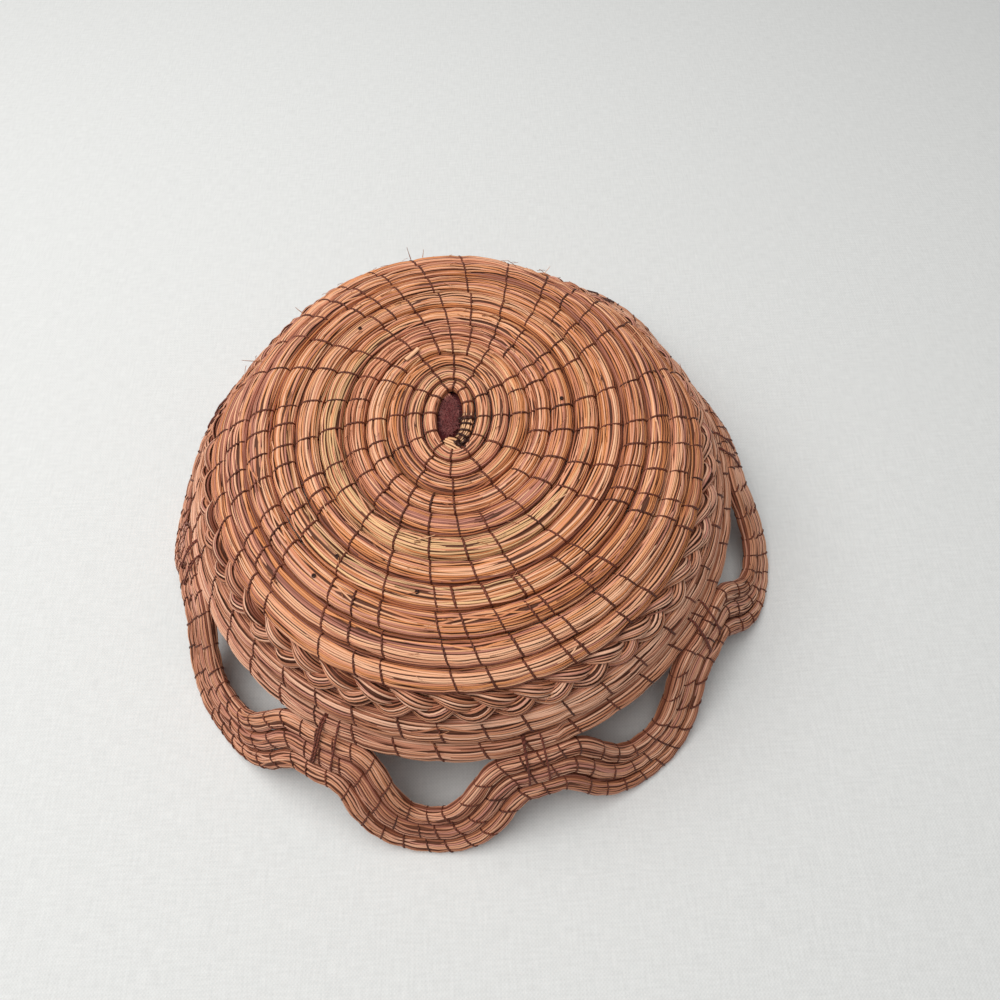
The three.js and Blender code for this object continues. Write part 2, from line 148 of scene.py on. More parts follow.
class NeedleLook(bpy.types.PropertyGroup):
    """How thick and how many the needles are, and their colours."""

    radius: length("Needle radius", "Half the width of a needle", 0.38)
    flatness: share("Flatness", "Thickness of a needle as a share of its width", 0.7)
    shortest: length("Shortest needle", "Shortest length of a needle", 60)
    longest: length("Longest needle", "Longest length of a needle", 170)
    shuffle: share("Shuffle", "How many places a needle shifts from one stitch to the next", 0.33)
    stray_share: share("Stray needles", "Share of the needles that wander over their neighbours", 0.13)
    stray_shuffle: number("Wandering", "How much more than the others a stray needle shifts", 4)
    hairs: count("Loose hairs", "Fine ends of needles that stand off the rows", 260)
    sink: share("Sink", "How far a needle sinks in its row from one stitch to the next", 0.03)
    slots: count("Needles in a row", "Needles side by side round a row of the bowl", 40)
    start_slots: count("Needles at the start", "Needles side by side round the first rows", 24)
    rim_slots: count("Needles in a rim row", "Needles side by side round a row of the rim", 24)
    plait_slots: count("Needles in a strand", "Needles round one strand of the plait", 17)
    squareness: number("Squareness", "Below 1, rows are flatter on top", 0.76)
    pinch: share("Pinch", "How much narrower a row is where a stitch holds it", 0.15)
    plait_waves: count("Waves of the plait", "How often a strand of the plait crosses over and back", 15)
    # Painted shade: needles lower down the sides of a row, in the groove between two rows, are made darker
    painted_groove_shade: share("Groove shade", "How much darker needles are down between two rows", 0.5)
    pale: colour("Pale needle", "Colour of a pale needle", 252, 194, 154)
    middle: colour("Common needle", "Colour of most needles", 232, 152, 114)
    warm: colour("Warm needle", "Colour of the more orange needles", 230, 146, 78)
    dark: colour("Dark needle", "Colour of a dark needle", 164, 96, 62)
    straw: colour("Straw needle", "Colour of a yellow needle", 248, 198, 142)
    mauve: colour("Mauve needle", "Colour of a greyish needle", 204, 132, 114)
    rim_pale: colour("Pale rim needle", "Colour of a pale needle of the rim", 244, 190, 158)
    rim_middle: colour("Common rim needle", "Colour of most needles of the rim", 214, 144, 112)
    rim_dark: colour("Dark rim needle", "Colour of a dark needle of the rim", 134, 74, 52)
    # Painted shade: the colour that the flanks of the needles are darkened towards, down between them
    groove: colour("Groove", "Colour between two needles", 98, 48, 28)
    # Painted shade: the dark colour of the tube inside each row
    core: colour("Shade between needles", "Colour inside a row", 128, 72, 46)


class ThreadLook(bpy.types.PropertyGroup):
    """The sewing thread and the felt."""

    radius: length("Thread radius", "Half the thickness of the thread", 0.35)
    slant: number("Slant", "Degrees round per millimetre outwards", 0.28)
    runs: count("Lines of stitches", "Lines of stitches at the start of the coil", 12)
    rim_stitches: count("Stitches of the rim", "Stitches in one row of the rim", 104)
    brown: colour("Brown thread", "Colour of the sewing thread", 100, 50, 32)
    red: colour("Reddish thread", "Colour of the lashings", 112, 54, 38)
    felt: colour("Felt", "Colour of the patch in the middle", 102, 30, 32)
    felt_pale: colour("Pale felt", "Colour of the patch's loose fibres", 206, 130, 122)


class StageLook(bpy.types.PropertyGroup):
    """The cloth that the basket stands on, the light and the camera."""

    cloth: colour("Cloth", "Colour of the cloth", 231, 231, 228)
    light: number("Light", "Power of the large lamp", 11.5, unit="POWER")
    sky: number("Sky", "Strength of the light from all round", 0.21)
    lens: number("Lens", "Focal length for a picture 36 mm wide, in millimetres", 28.8)
    pitch: angle("Camera pitch", "How far the camera looks down", 59.49)
    yaw: angle("Camera yaw", "How far the camera is turned", 0.36)
    roll: angle("Camera roll", "How far the camera is rolled", -2.01)


# The spiral


def unit(vectors):
    shortest = 1e-12
    return vectors / np.maximum(np.linalg.norm(vectors, axis=-1, keepdims=True), shortest)


def travelled(line):
    """How far along a line each of its points lies."""
    return np.concatenate([[0], np.cumsum(np.linalg.norm(np.diff(line, axis=0), axis=1))])


def blend(first, second, part):
    return first + (second - first) * part


class Spiral:
    """The one line that the bundle of needles follows, as places and facings at any number of turns."""

    # Round the rim from its seam on the far side: where the lobes are joined to the wall, how steeply the
    # rows fall there, and how much further out than the others a lobe's foot lies
    lobe_joints = np.radians([0, 36, 72, 108, 155, 193, 234, 274, 324, 360])
    joint_slopes = np.radians([42, 42, 55, 59, 47, 58, 61, 57, 42, 42])
    lobe_spreads = np.array([0, 0, -3, -1.6, 0, -2.6, 0.6, -2, 0]) * MM
    # How much tighter the shoulder bends, at even steps from +X round the far side to -X, and how much less
    # steeply the wall would fall behind it at a tightening of 1
    bend_tightening = np.array([0, 0.31, 0.61, 0.38, 0.26, 0.42, 0])
    slope_easing = np.radians(21)
    # The first row is narrower than its pitch by this share, which is gone after some turns
    start_narrowing = 0.1
    turns_to_round = 4
    turns_to_base_pitch = 5.5
    # A row of the part has six sides, and the rim's last row is cut flat by this share where it stands
    hexagon_rise = np.cos(np.pi / 6)
    foot_cut = 0.1
    # The rim's steps in one turn, those across the width of a row, and how far a lobe's corners are softened
    rim_steps = 2160
    samples = 20
    softening = np.radians(1.5) / TURN
    # A step along the row that is short enough to tell its direction, and one that is next to nothing
    short_step = 1 / 1080
    tiny_step = 1e-9

    def __init__(self, shape):
        self.shape = shape
        self.plait_start = shape.base_turns
        self.wall_start = self.plait_start + 1
        self.rim_start = self.wall_start + shape.wall_turns
        self.rim_end = self.rim_start + len(RIM_ROWS)
        self.axis = node_middle("centre_patch") * (1, 1, 0)
        self.knots = np.array([
            (0, shape.start_pitch),
            (self.turns_to_base_pitch, shape.base_pitch),
            (self.plait_start, shape.base_pitch),
            (self.plait_start + 0.5, shape.plait_pitch),
            (self.wall_start + 0.5, shape.wall_pitch),
            (self.wall_start + 1.5, shape.last_wall_pitch),
            (self.rim_start + 0.5, shape.rim_pitch),
            (self.rim_end, shape.rim_pitch),
        ])
        turns, pitches = self.knots.T
        steps = np.diff(turns) * (pitches[1:] + pitches[:-1]) / 2
        self.reaches = np.concatenate([[0], np.cumsum(steps)])
        self.base_rise = self.hexagon_rise * self.row_radius(self.turns_to_base_pitch)
        self.band = (len(RIM_ROWS) - 1) * shape.rim_pitch
        end_radius = self.row_radius(self.rim_end)
        self.foot_level = self.hexagon_rise * end_radius - self.foot_cut * 2 * end_radius
        self.shares = np.linspace(0, 1, self.rim_steps + 1)
        self.hangs = [self.hang_of(row) for row in range(len(RIM_ROWS))]

    def pitch(self, turns):
        return np.interp(turns, *self.knots.T)

    def row_radius(self, turns):
        narrow = self.start_narrowing * np.maximum(0, 1 - np.asarray(turns) / self.turns_to_round)
        return (self.pitch(turns) * (1 - narrow) - self.shape.row_gap) / 2

    def reach(self, turns):
        turns = np.asarray(turns, float)
        from_turn = self.knots[:, 0]
        i = np.clip(np.searchsorted(from_turn, turns, side="right") - 1, 0, len(from_turn) - 2)
        mean = (self.knots[i, 1] + self.pitch(turns)) / 2
        return self.shape.start_radius + self.reaches[i] + (turns - from_turn[i]) * mean

    def tightening(self, angles):
        """How much more tightly the shoulder bends on the far side."""
        last = len(self.bend_tightening) - 1
        step = np.minimum(np.mod(angles, TURN) / np.pi * last, last)
        i = np.minimum(np.floor(step).astype(int), last - 1)
        eased = (1 - np.cos(np.pi * (step - i))) / 2
        return blend(self.bend_tightening[i], self.bend_tightening[i + 1], eased)

    def profile(self, turns):
        """Radius, level and slope of the bowl where the row runs at these turns."""
        s = self.shape
        turns = np.asarray(turns, float)
        reach = self.reach(turns)
        tightening = self.tightening(s.start_angle + TURN * turns)
        bend_radius = s.shoulder_bend * (1 - tightening)
        fall = s.wall_slope - self.slope_easing * tightening
        bend = np.clip((reach - s.base_radius) / bend_radius, 0, fall)
        radius = np.where(reach <= s.base_radius, reach, s.base_radius + bend_radius * np.sin(bend))
        level = s.height - self.base_rise - bend_radius * (1 - np.cos(bend))
        beyond = np.maximum(0, reach - s.base_radius - bend_radius * fall)
        wall = np.minimum(beyond, s.wall_length + s.shoulder_bend * s.wall_slope - bend_radius * fall)
        flare = beyond - wall
        radius = radius + wall * np.cos(fall) + flare * np.cos(s.flare_slope)
        level = level - wall * np.sin(fall) - flare * np.sin(s.flare_slope)
        return radius, level, np.where(flare > 0, s.flare_slope, bend)

    def lobe(self, shares):
        """Which lobe of the rim lies at a share of the way round, and how far across it."""
        angles = np.mod(shares, 1) * TURN
        joints_passed = np.searchsorted(self.lobe_joints, angles, side="right")
        lobe = np.clip(joints_passed - 1, 0, len(self.lobe_spreads) - 1)
        width = self.lobe_joints[lobe + 1] - self.lobe_joints[lobe]
        return lobe, (angles - self.lobe_joints[lobe]) / width

    def drop(self, shares):
        """How far the innermost row may fall, down its slope, for the rim to stand on the ground."""
        level = self.profile(self.rim_start + np.mod(shares, 1))[1]
        fall = level - self.band * np.sin(self.shape.lobe_flare) - self.foot_level
        return fall / np.sin(self.shape.drop_slope)

    def inner_hang(self, shares):
        """How far the innermost row hangs below the joints."""
        off_middle = np.abs(self.lobe(shares)[1] - 0.5) / self.shape.lobe_reach
        wave = np.cos(np.pi * np.minimum(off_middle, 1) ** self.shape.lobe_flatness)
        return self.drop(shares) * (1 + wave) / 2

    def hang_of(self, row):
        """How far a row of the rim hangs below the joints, all the way round."""
        offset = row * self.shape.rim_pitch
        hang = np.zeros_like(self.shares)
        for nudge in (-self.softening, 0, self.softening):
            best = np.zeros_like(self.shares)
            for i in range(-self.samples, self.samples + 1):
                aside = offset * i / self.samples
                below = np.sqrt(offset**2 - aside**2)
                moved = self.shares + nudge + aside / (TURN * self.shape.rim_girth)
                best = np.maximum(best, self.inner_hang(moved) + below)
            hang += best / 3
        return hang

    def oval(self, radius, level, angles):
        """Places on ovals, which reach further to the front and back than to the sides."""
        x = radius * np.cos(angles)
        y = (radius + self.shape.oval_reach) * np.sin(angles)
        return np.stack([x, y, level], -1) + self.axis

    def station(self, turns):
        """The middle of the row and the way its outer face looks."""
        turns = np.asarray(turns, float)
        s = self.shape
        angles = s.start_angle + TURN * turns
        radius, level, slope = self.profile(np.minimum(turns, self.rim_end))
        flush = np.where(slope == 0, self.base_rise - self.hexagon_rise * self.row_radius(turns), 0)
        row = np.clip(np.floor(turns - self.rim_start + self.tiny_step), 0, len(RIM_ROWS) - 1)
        way = turns - self.rim_start - row
        lobe, across = self.lobe(way)
        joint_slope = self.joint_slopes[np.where(across < 0.5, lobe, lobe + 1)]
        upper = blend(joint_slope, s.drop_slope, np.sin(np.pi * across) ** 2)
        hang = sum(np.interp(way, self.shares, hang) * (row == k) for k, hang in enumerate(self.hangs))
        drop = self.drop(way)
        steep, flared = np.minimum(hang, drop), np.maximum(hang - drop, 0)
        lobe_share = np.clip((hang - row * s.rim_pitch) / drop, 0, 1)
        rim_radius, rim_level, _ = self.profile(self.rim_start + way)
        spread = self.lobe_spreads[lobe] * lobe_share
        rim_radius = rim_radius + steep * np.cos(upper) + flared * np.cos(s.lobe_flare) + spread
        rim_level = rim_level - steep * np.sin(upper) - flared * np.sin(s.lobe_flare)
        on_rim = turns >= self.rim_start
        radius = np.where(on_rim, rim_radius, radius)
        level = np.where(on_rim, rim_level, level + flush)
        slope = np.where(on_rim, blend(upper, s.lobe_flare, lobe_share), slope)
        face = [np.sin(slope) * np.cos(angles), np.sin(slope) * np.sin(angles), np.cos(slope)]
        return self.oval(radius, level, angles), np.stack(face, -1)

    def frames(self, turns, low, high):
        """The middles of a row that runs between two turns, and which way is outwards and up from it."""
        middle, face = self.station(turns)
        after = self.station(np.minimum(turns + self.short_step, high - self.tiny_step))[0]
        before = self.station(np.maximum(turns - self.short_step, low))[0]
        along = unit(after - before)
        out = unit(np.cross(along, face))
        return middle, out, np.cross(out, along)

    def row_at(self, turn):
        """The middle of the bowl's row at one turn, and which way is outwards and up there."""
        return [found[0] for found in self.frames(np.array([turn]), 0, self.rim_start)]


# Meshes

NEEDLE_SIDES = 5
THREAD_SIDES = 6
FIBRE_SIDES = 3
CORE_SIDES = 8


class Tubes:
    """Gathers many thin tubes and makes one mesh of them."""

    # Below this level a tube is pressed flat
    foot = 0.3 * MM

    def __init__(self, sides):
        turned = (np.arange(sides) / sides + 0.25) * TURN
        self.cosines, self.sines = np.cos(turned), np.sin(turned)
        self.points, self.faces, self.grains, self.tints = [], [], [], []
        self.size = 0

    def add(self, line, out, up, radius, tint, closed=False):
        """A tube round a line. Its tint is a shade from 0 to 1, a share of mauve, one of straw and a seed."""
        count, sides = len(line), len(self.cosines)
        radius = np.broadcast_to(np.asarray(radius, float), (count,))
        ring = self.cosines[None, :, None] * out[:, None] + self.sines[None, :, None] * up[:, None]
        points = line[:, None] + ring * radius[:, None, None]
        grain = np.empty((count, sides, 3))
        grain[..., 0] = travelled(line)[:, None]
        grain[..., 1] = self.cosines
        grain[..., 2] = self.sines
        j = np.arange(sides)
        k = (j + 1) % sides
        here = (np.arange(count if closed else count - 1) * sides)[:, None]
        there = (here + sides) % (count * sides)
        quads = np.stack([here + j, here + k, there + k, there + j], -1).reshape(-1, 4)
        self.points.append(points.reshape(-1, 3))
        self.faces.append(quads + self.size)
        self.grains.append(grain.reshape(-1, 3))
        self.tints.append(np.repeat(np.broadcast_to(tint, (count, 4)), sides, axis=0))
        self.size += count * sides

    def lay(self, line, face, radius, tint, flatness=1.0, closed=False):
        """A tube along a line, with its flat side to the way given."""
        if closed:
            along = unit(np.roll(line, -1, 0) - np.roll(line, 1, 0))
        else:
            along = unit(np.gradient(line, axis=0))
        side = unit(np.cross(along, face))
        self.add(line, side, np.cross(side, along) * flatness, radius, tint, closed)

    def mesh(self, name):
        """All the tubes, pressed smoothly flat where they would reach into the ground."""
        points = np.concatenate(self.points)
        pressed = points[:, 2] < self.foot
        points[pressed, 2] = self.foot * np.exp(points[pressed, 2] / self.foot - 1)
        faces, grains, tints = (np.concatenate(parts) for parts in (self.faces, self.grains, self.tints))
        return mesh_of(name, points, faces, grains, tints)


def mesh_of(name, points, quads, grains=None, tints=None):
    mesh = bpy.data.meshes.new(name)
    mesh.vertices.add(len(points))
    mesh.vertices.foreach_set("co", np.asarray(points, np.float32).ravel())
    mesh.loops.add(quads.size)
    mesh.loops.foreach_set("vertex_index", quads.astype(np.int32).ravel())
    mesh.polygons.add(len(quads))
    mesh.polygons.foreach_set("loop_start", np.arange(len(quads), dtype=np.int32) * quads.shape[1])
    mesh.update(calc_edges=True)
    kinds = (("grain", "FLOAT_VECTOR", "vector", grains), ("tint", "FLOAT_COLOR", "color", tints))
    for attribute, kind, field, values in kinds:
        if values is not None:
            stored = mesh.attributes.new(attribute, kind, "POINT").data
            stored.foreach_set(field, values.astype(np.float32).ravel())
    mesh.shade_smooth()
    mesh.validate()
    return mesh


def put(name, data):
    """Puts an object in the scene."""
    placed = bpy.data.objects.new(name, data)
    bpy.context.scene.collection.objects.link(placed)
    return placed


def place(name, form, material, nodes=()):
    """Puts a piece, which is a mesh or tubes, in the scene on the part's one body."""
    mesh = form.mesh(name) if isinstance(form, Tubes) else form
    piece = put(name, mesh)
    mesh.materials.append(material)
    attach(piece, "root")
    if nodes:
        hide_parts(*nodes)


class Route(NamedTuple):
    """Where a bundle runs and how wide and high it is, how far along, and where along it stitches hold it."""

    middle: np.ndarray
    out: np.ndarray
    up: np.ndarray
    half_width: np.ndarray
    half_height: np.ndarray
    distance: np.ndarray
    stitches: np.ndarray


def squared(wave, power):
    """A sine or cosine with its crest flattened, so that a round section becomes a rounded square."""
    return np.sign(wave) * np.abs(wave) ** power


def section(power):
    """A rounded square, as places and outward ways at even steps round it."""
    steps = 361
    turned = np.linspace(0, TURN, 4 * steps - 3)
    outline = np.stack([squared(np.cos(turned), power), squared(np.sin(turned), power)], -1)
    distance = travelled(outline)
    even = np.linspace(0, distance[-1], steps)
    outline = np.stack([np.interp(even, distance, side) for side in outline.T], -1)
    ways = unit(np.roll(outline[:-1], -2, 0) - np.roll(outline[:-1], 2, 0))
    ways = np.stack([ways[:, 1], -ways[:, 0]], -1)
    return np.linspace(0, 1, steps), np.hstack([outline, np.concatenate([ways, ways[:1]])])


def lay_needles(tubes, route, slots, look, random, tint_at):
    """Fills a row with needles laid side by side round it, each place with needles end to end.

    From one stitch to the next a needle shifts a little among its neighbours. Its ends taper and are tucked
    into the row. The needles are shared out over the given tubes from the start of the row to its end.
    """
    past_ends, early, late = 20 * MM, 2 * MM, 4 * MM
    head_start, fewest_points = 0.9, 3
    thinnest, thickest = 0.75, 1.2
    tuck, tuck_length = 0.22, 5 * MM
    tip, tip_length = 0.4, 10 * MM
    groove_height = 0.85
    shares, rounded = section(look.squareness)
    total = route.distance[-1]
    ends = np.concatenate([[-past_ends], route.stitches, [total + past_ends]])
    for slot in range(slots):
        start = -random.uniform(0, head_start) * look.longest
        while start < total:
            end = start + random.uniform(look.shortest, look.longest)
            held = np.nonzero((route.distance >= start - early) & (route.distance <= end + late))[0]
            begun, start = start, end
            if len(held) < fewest_points:
                continue
            d = route.distance[held]
            knots = ends[max(0, np.searchsorted(ends, d[0]) - 1):np.searchsorted(ends, d[-1]) + 1]
            stray = look.stray_shuffle if random.random() < look.stray_share else 1
            shift = np.interp(d, knots, random.normal(0, look.shuffle * stray, len(knots)))
            sunk = np.interp(d, knots, random.normal(0, look.sink, len(knots)))
            place_round = np.mod((slot + shift) / slots, 1)
            thick = look.radius * random.uniform(thinnest, thickest)
            whole = held[0] == 0 and held[-1] == len(route.distance) - 1
            to_tip = np.minimum(d - d[0], d[-1] - d)
            inside = np.zeros_like(d) if whole else np.exp(-to_tip / tuck_length)
            depth = 1 + sunk - tuck * inside
            x, y, *facing = (np.interp(place_round, shares, column) for column in rounded.T)
            facing = unit(np.stack(facing, -1))
            across = (route.half_width[held] - thick * look.flatness) * x * depth
            rise = (route.half_height[held] - thick * look.flatness) * y * depth
            out, up = route.out[held], route.up[held]
            line = route.middle[held] + out * across[:, None] + up * rise[:, None]
            face = out * facing[:, :1] + up * facing[:, 1:]
            side = out * facing[:, 1:] - up * facing[:, :1]
            width = thick * np.minimum(1, tip + to_tip / tip_length)
            part = int(np.clip(begun / total * len(tubes), 0, len(tubes) - 1))
            tint = tint_at(held, random)
            # Painted shade: needles down in the groove between two rows are darkened
            tint[:, 0] -= look.painted_groove_shade * np.clip(1 - np.abs(y) / groove_height, 0, 1)
            tubes[part].add(line, side, face * look.flatness, width, tint)


def core(route, share_of_width=0.92):
    """A plain tube inside a bundle, painted dark as shade, which closes the view between its needles."""
    tube = Tubes(CORE_SIDES)
    out = route.out * (route.half_width * share_of_width)[:, None]
    up = route.up * (route.half_height * share_of_width)[:, None]
    tube.add(route.middle, out, up, 1, (0, 0, 0, 0))
    return tube


# Materials

# Two tubes' own seeds, from 0 to 1, are set this much further apart in the noise that marks them
SEEDS_APART = 40


class Value:
    """A socket of a material that takes part in sums as a number does."""

    def __init__(self, paint, socket):
        self.paint, self.socket = paint, socket

    def _with(self, operation, first, second):
        return self.paint.node("ShaderNodeMath", {"operation": operation}, {0: first, 1: second})

    def __add__(self, other):
        return self._with("ADD", self, other)

    def __sub__(self, other):
        return self._with("SUBTRACT", self, other)

    def __rsub__(self, other):
        return self._with("SUBTRACT", other, self)

    def __mul__(self, other):
        return self._with("MULTIPLY", self, other)

    __radd__ = __add__
    __rmul__ = __mul__

    def clipped(self):
        return self.paint.node("ShaderNodeClamp", {}, {"Value": self})

    def sine(self):
        return self.paint.node("ShaderNodeMath", {"operation": "SINE"}, {0: self})


class Paint:
    """The nodes of one material."""

    def __init__(self, name, **constants):
        self.material = bpy.data.materials.new(name)
        self.material.use_nodes = True
        self.tree = self.material.node_tree
        self.shader = self.tree.nodes["Principled BSDF"]
        for socket, value in constants.items():
            self.shader.inputs[socket.replace("_", " ")].default_value = value

    def node(self, kind, choices, inputs, output=0):
        """Adds a node: its own choices first, then the values or links of its sockets."""
        node = self.tree.nodes.new(kind)
        for choice, value in choices.items():
            setattr(node, choice, value)
        for socket, value in inputs.items():
            if isinstance(value, Value):
                self.tree.links.new(value.socket, node.inputs[socket])
            else:
                node.inputs[socket].default_value = value
        return Value(self, node.outputs[output])

    def attribute(self, name, output):
        return self.node("ShaderNodeAttribute", {"attribute_name": name}, {}, output)

    def where(self):
        """Where a point of the piece is, in metres."""
        return self.node("ShaderNodeTexCoord", {}, {}, "Object")

    def parts(self, vector):
        return [self.node("ShaderNodeSeparateXYZ", {}, {0: vector}, axis) for axis in "XYZ"]

    def vector(self, x, y, z):
        return self.node("ShaderNodeCombineXYZ", {}, {"X": x, "Y": y, "Z": z})

    def noise(self, vector, detail=2.0, seed=0.0, scale=1.0):
        inputs = {"Vector": vector, "W": seed, "Scale": scale, "Detail": detail}
        return self.node("ShaderNodeTexNoise", {"noise_dimensions": "4D"}, inputs, "Fac")

    def streaks(self, grain, along, across, detail=2.0, seed=0.0):
        """Noise drawn out along a needle, finer along and across it the larger those numbers are."""
        lengthwise, side, top = grain
        return self.noise(self.vector(lengthwise * along, side * across, top * across), detail, seed)

    def mix(self, part, first, second):
        """A colour between two, given as colours or sockets."""
        first, second = (c if isinstance(c, Value) else (*c, 1) for c in (first, second))
        return self.node("ShaderNodeMix", {"data_type": "RGBA"}, {0: part, 6: first, 7: second}, 2)

    def finish(self, base, height, depth, strength=0.5, rough=None):
        """Sets the colour, the bumps and, where it changes, the roughness, and gives the material."""
        bump = self.node("ShaderNodeBump", {}, {"Height": height, "Distance": depth, "Strength": strength})
        for socket, value in (("Base Color", base), ("Normal", bump), ("Roughness", rough)):
            if value is not None:
                self.tree.links.new(value.socket, self.shader.inputs[socket])
        return self.material


def needle_paint(name, look, pale, middle, dark, warm_share):
    """Dried needles: a shade of their own each, with fine streaks along them, and painted shade on their
    edges down between them.
    """
    streaky, blotchy, speckled = 1.9, 1.1, 0.5
    speck_rarity, speck_sharpness = 0.7, 12
    plain_share, warm_sharpness = 0.35, 4
    flat_top, edge_sharpness, most_edge = 0.66, 2.9, 0.85
    paint = Paint(name, Roughness=0.5, Specular_IOR_Level=0.3)
    grain = paint.parts(paint.attribute("grain", "Vector"))
    shade, mauve, straw = paint.parts(paint.attribute("tint", "Color"))
    own = paint.attribute("tint", "Alpha")
    seed = own * SEEDS_APART
    streaks = paint.streaks(grain, along=60, across=4.5, detail=3.0, seed=seed)
    specks = paint.streaks(grain, along=700, across=3, detail=1.0, seed=seed + 3)
    blotches = paint.streaks(grain, along=60, across=0.3, detail=3.0, seed=seed + 7)
    ridges = paint.streaks(grain, along=12, across=4, seed=seed)
    speckle = ((specks - speck_rarity) * speck_sharpness).clipped()
    level = shade + (streaks - 0.5) * streaky + (blotches - 0.5) * blotchy - speckle * speckled
    warmth = ((own - plain_share) * warm_sharpness).clipped() * warm_share
    warm = tuple(warmer * own_part / part for warmer, own_part, part in zip(look.warm, middle, look.middle))
    lower = paint.mix((level * 2).clipped(), dark, paint.mix(warmth, middle, warm))
    base = paint.mix(((level - 0.5) * 2).clipped(), lower, pale)
    light = level.clipped()
    base = paint.mix(mauve, base, paint.mix(light, toned(look.mauve, 0.5), look.mauve))
    base = paint.mix(straw, base, paint.mix(light, toned(look.straw, 0.6), look.straw))
    # Painted shade: the flanks of each needle, down where it meets its neighbours, and more on darker
    # needles, are mixed towards the groove colour as the shade between needles
    off_top = (flat_top - grain[2]) * edge_sharpness
    edge = (off_top + (streaks - 0.5) * 0.8 + (0.4 - shade) * 0.6).clipped() * most_edge
    base = paint.mix(edge, base, look.groove)
    return paint.finish(base, ridges, depth=0.2 * MM, rough=0.4 + streaks * 0.25)


def shade_paint(name, look):
    """The needles inside a row, painted dark as the shade they lie in, since hardly any light reaches them.
    """
    paint = Paint(name, Roughness=0.8)
    strands = paint.streaks(paint.parts(paint.attribute("grain", "Vector")), along=30, across=13)
    base = paint.mix(((strands - 0.4) * 4).clipped(), toned(look.core, 0.35), look.core)
    return paint.finish(base, strands, depth=0.3 * MM)


def thread_paint(name, tone):
    """Twisted thread: the plies show as slanting stripes, with painted shade in the grooves between them and
    painted highlight on them.
    """
    ply_length = 1.3 * MM
    ply_shade_and_highlight, worn_off, shaded = 0.45, 0.6, 0.6
    paint = Paint(name, Roughness=0.6, Specular_IOR_Level=0.4)
    along, side, top = paint.parts(paint.attribute("grain", "Vector"))
    shade = paint.parts(paint.attribute("tint", "Color"))[0]
    turned = paint.node("ShaderNodeMath", {"operation": "ARCTAN2"}, {0: top, 1: side})
    plies = (turned * 2 + along * (TURN / ply_length)).sine() * 0.5 + 0.5
    seed = paint.attribute("tint", "Alpha") * SEEDS_APART
    worn = paint.noise(paint.vector(along * 400, side, top), seed=seed)
    level = (plies * ply_shade_and_highlight + worn * worn_off + (shade - 0.5) * shaded).clipped()
    # Painted shade and painted highlight: the level runs between a darker and a much lighter copy of the
    # thread's colour
    base = paint.mix(level, toned(tone, 0.35), toned(tone, 1.9))
    return paint.finish(base, plies, depth=0.25 * MM, strength=0.7)


def felt_paint(name, low, high, scale):
    """Fuzzy felt, mottled between two colours."""
    share_of_each, darkness, contrast = 0.6, 0.35, 1.6
    paint = Paint(name, Roughness=0.95, Sheen_Weight=0.15, Specular_IOR_Level=0.2)
    where = paint.where()
    coarse = paint.noise(where, detail=4.0, scale=scale)
    fine = paint.noise(where, seed=3.0, scale=scale * 4)
    level = ((coarse * share_of_each + fine * share_of_each - darkness) * contrast).clipped()
    return paint.finish(paint.mix(level, low, high), fine, depth=0.4 * MM, strength=0.8)


def cloth_paint(name, tone):
    """Plain woven cloth, with threads a little thicker here and there."""
    spacing = TURN / (1.1 * MM)
    woven, darkness = 0.4, 0.7
    along_thread, across_thread = 160, 1300
    paint = Paint(name, Roughness=0.9, Specular_IOR_Level=0.2)
    x, y, _ = paint.parts(paint.where())
    weave = (x * spacing).sine() * (y * spacing).sine() * 0.5 + 0.5
    weft = paint.noise(paint.vector(x * along_thread, y * across_thread, 0))
    warp = paint.noise(paint.vector(x * across_thread, y * along_thread, 0))
    level = weave * woven + (weft + warp - darkness)
    base = paint.mix(level.clipped(), toned(tone, 0.88), toned(tone, 1.04))
    return paint.finish(base, level, depth=0.2 * MM, strength=0.35)


# Pieces


def settings():
    """The line of the rows, and how the needles and the thread look."""
    scene = bpy.context.scene
    return Spiral(scene.basket_shape), scene.needle_look, scene.thread_look


def needle_material(name):
    """One of the needles' materials, all made when the first is asked for."""
    made = bpy.data.materials
    if name not in made:
        look = bpy.context.scene.needle_look
        needle_paint("bowl needles", look, look.pale, look.middle, look.dark, 0.8)
        needle_paint("rim needles", look, look.rim_pale, look.rim_middle, look.rim_dark, 0.35)
        shade_paint("shade between needles", look)
    return made[name]


# Tints of the rows round the bowl: turn, share of mauve, share of straw, lift of the shade. The lift of the
# wall's rows, from turn 12.2 to 14.2, is painted light that makes the steep wall brighter.
ROW_TINTS = np.array([
    (0.0, 0.1, 0.15, 0.0), (1.0, 0.12, 0.08, 0.0), (2.0, 0.14, 0.04, 0.0), (3.5, 0.05, 0.04, 0.05),
    (4.7, 0.1, 0.0, 0.0), (4.85, 0.6, 0.0, -0.02), (4.99, 0.5, 0.0, -0.02), (5.1, 0.1, 0.0, 0.0),
    (5.55, 0.05, 0.1, 0.0), (5.65, 0.0, 0.32, 0.04), (5.9, 0.0, 0.58, 0.12), (6.0, 0.0, 0.6, 0.12),
    (6.07, 0.05, 0.08, 0.05), (6.8, 0.12, 0.03, 0.05), (7.2, 0.03, 0.03, 0.05), (7.75, 0.15, 0.05, 0.08),
    (7.9, 0.05, 0.22, 0.08), (8.0, 0.03, 0.03, 0.02), (8.7, 0.45, 0.0, 0.08), (8.9, 0.4, 0.0, 0.06),
    (9.0, 0.05, 0.0, 0.0), (9.65, 0.55, 0.0, 0.1), (9.9, 0.45, 0.0, 0.1), (10.0, 0.1, 0.0, 0.05),
    (10.6, 0.5, 0.0, 0.1), (10.9, 0.15, 0.0, 0.08), (11.4, 0.12, 0.0, -0.04), (12.2, 0.08, 0.0, 0.16),
    (14.2, 0.08, 0.0, 0.16), (14.5, 0.1, 0.0, 0.12), (17.5, 0.1, 0.0, 0.12),
])

# Lighter and darker stretches, spaced evenly along the coil
STRETCH_TURNS = 0.11
STRETCHES = np.random.default_rng(71).normal(0, 0.1, 180)


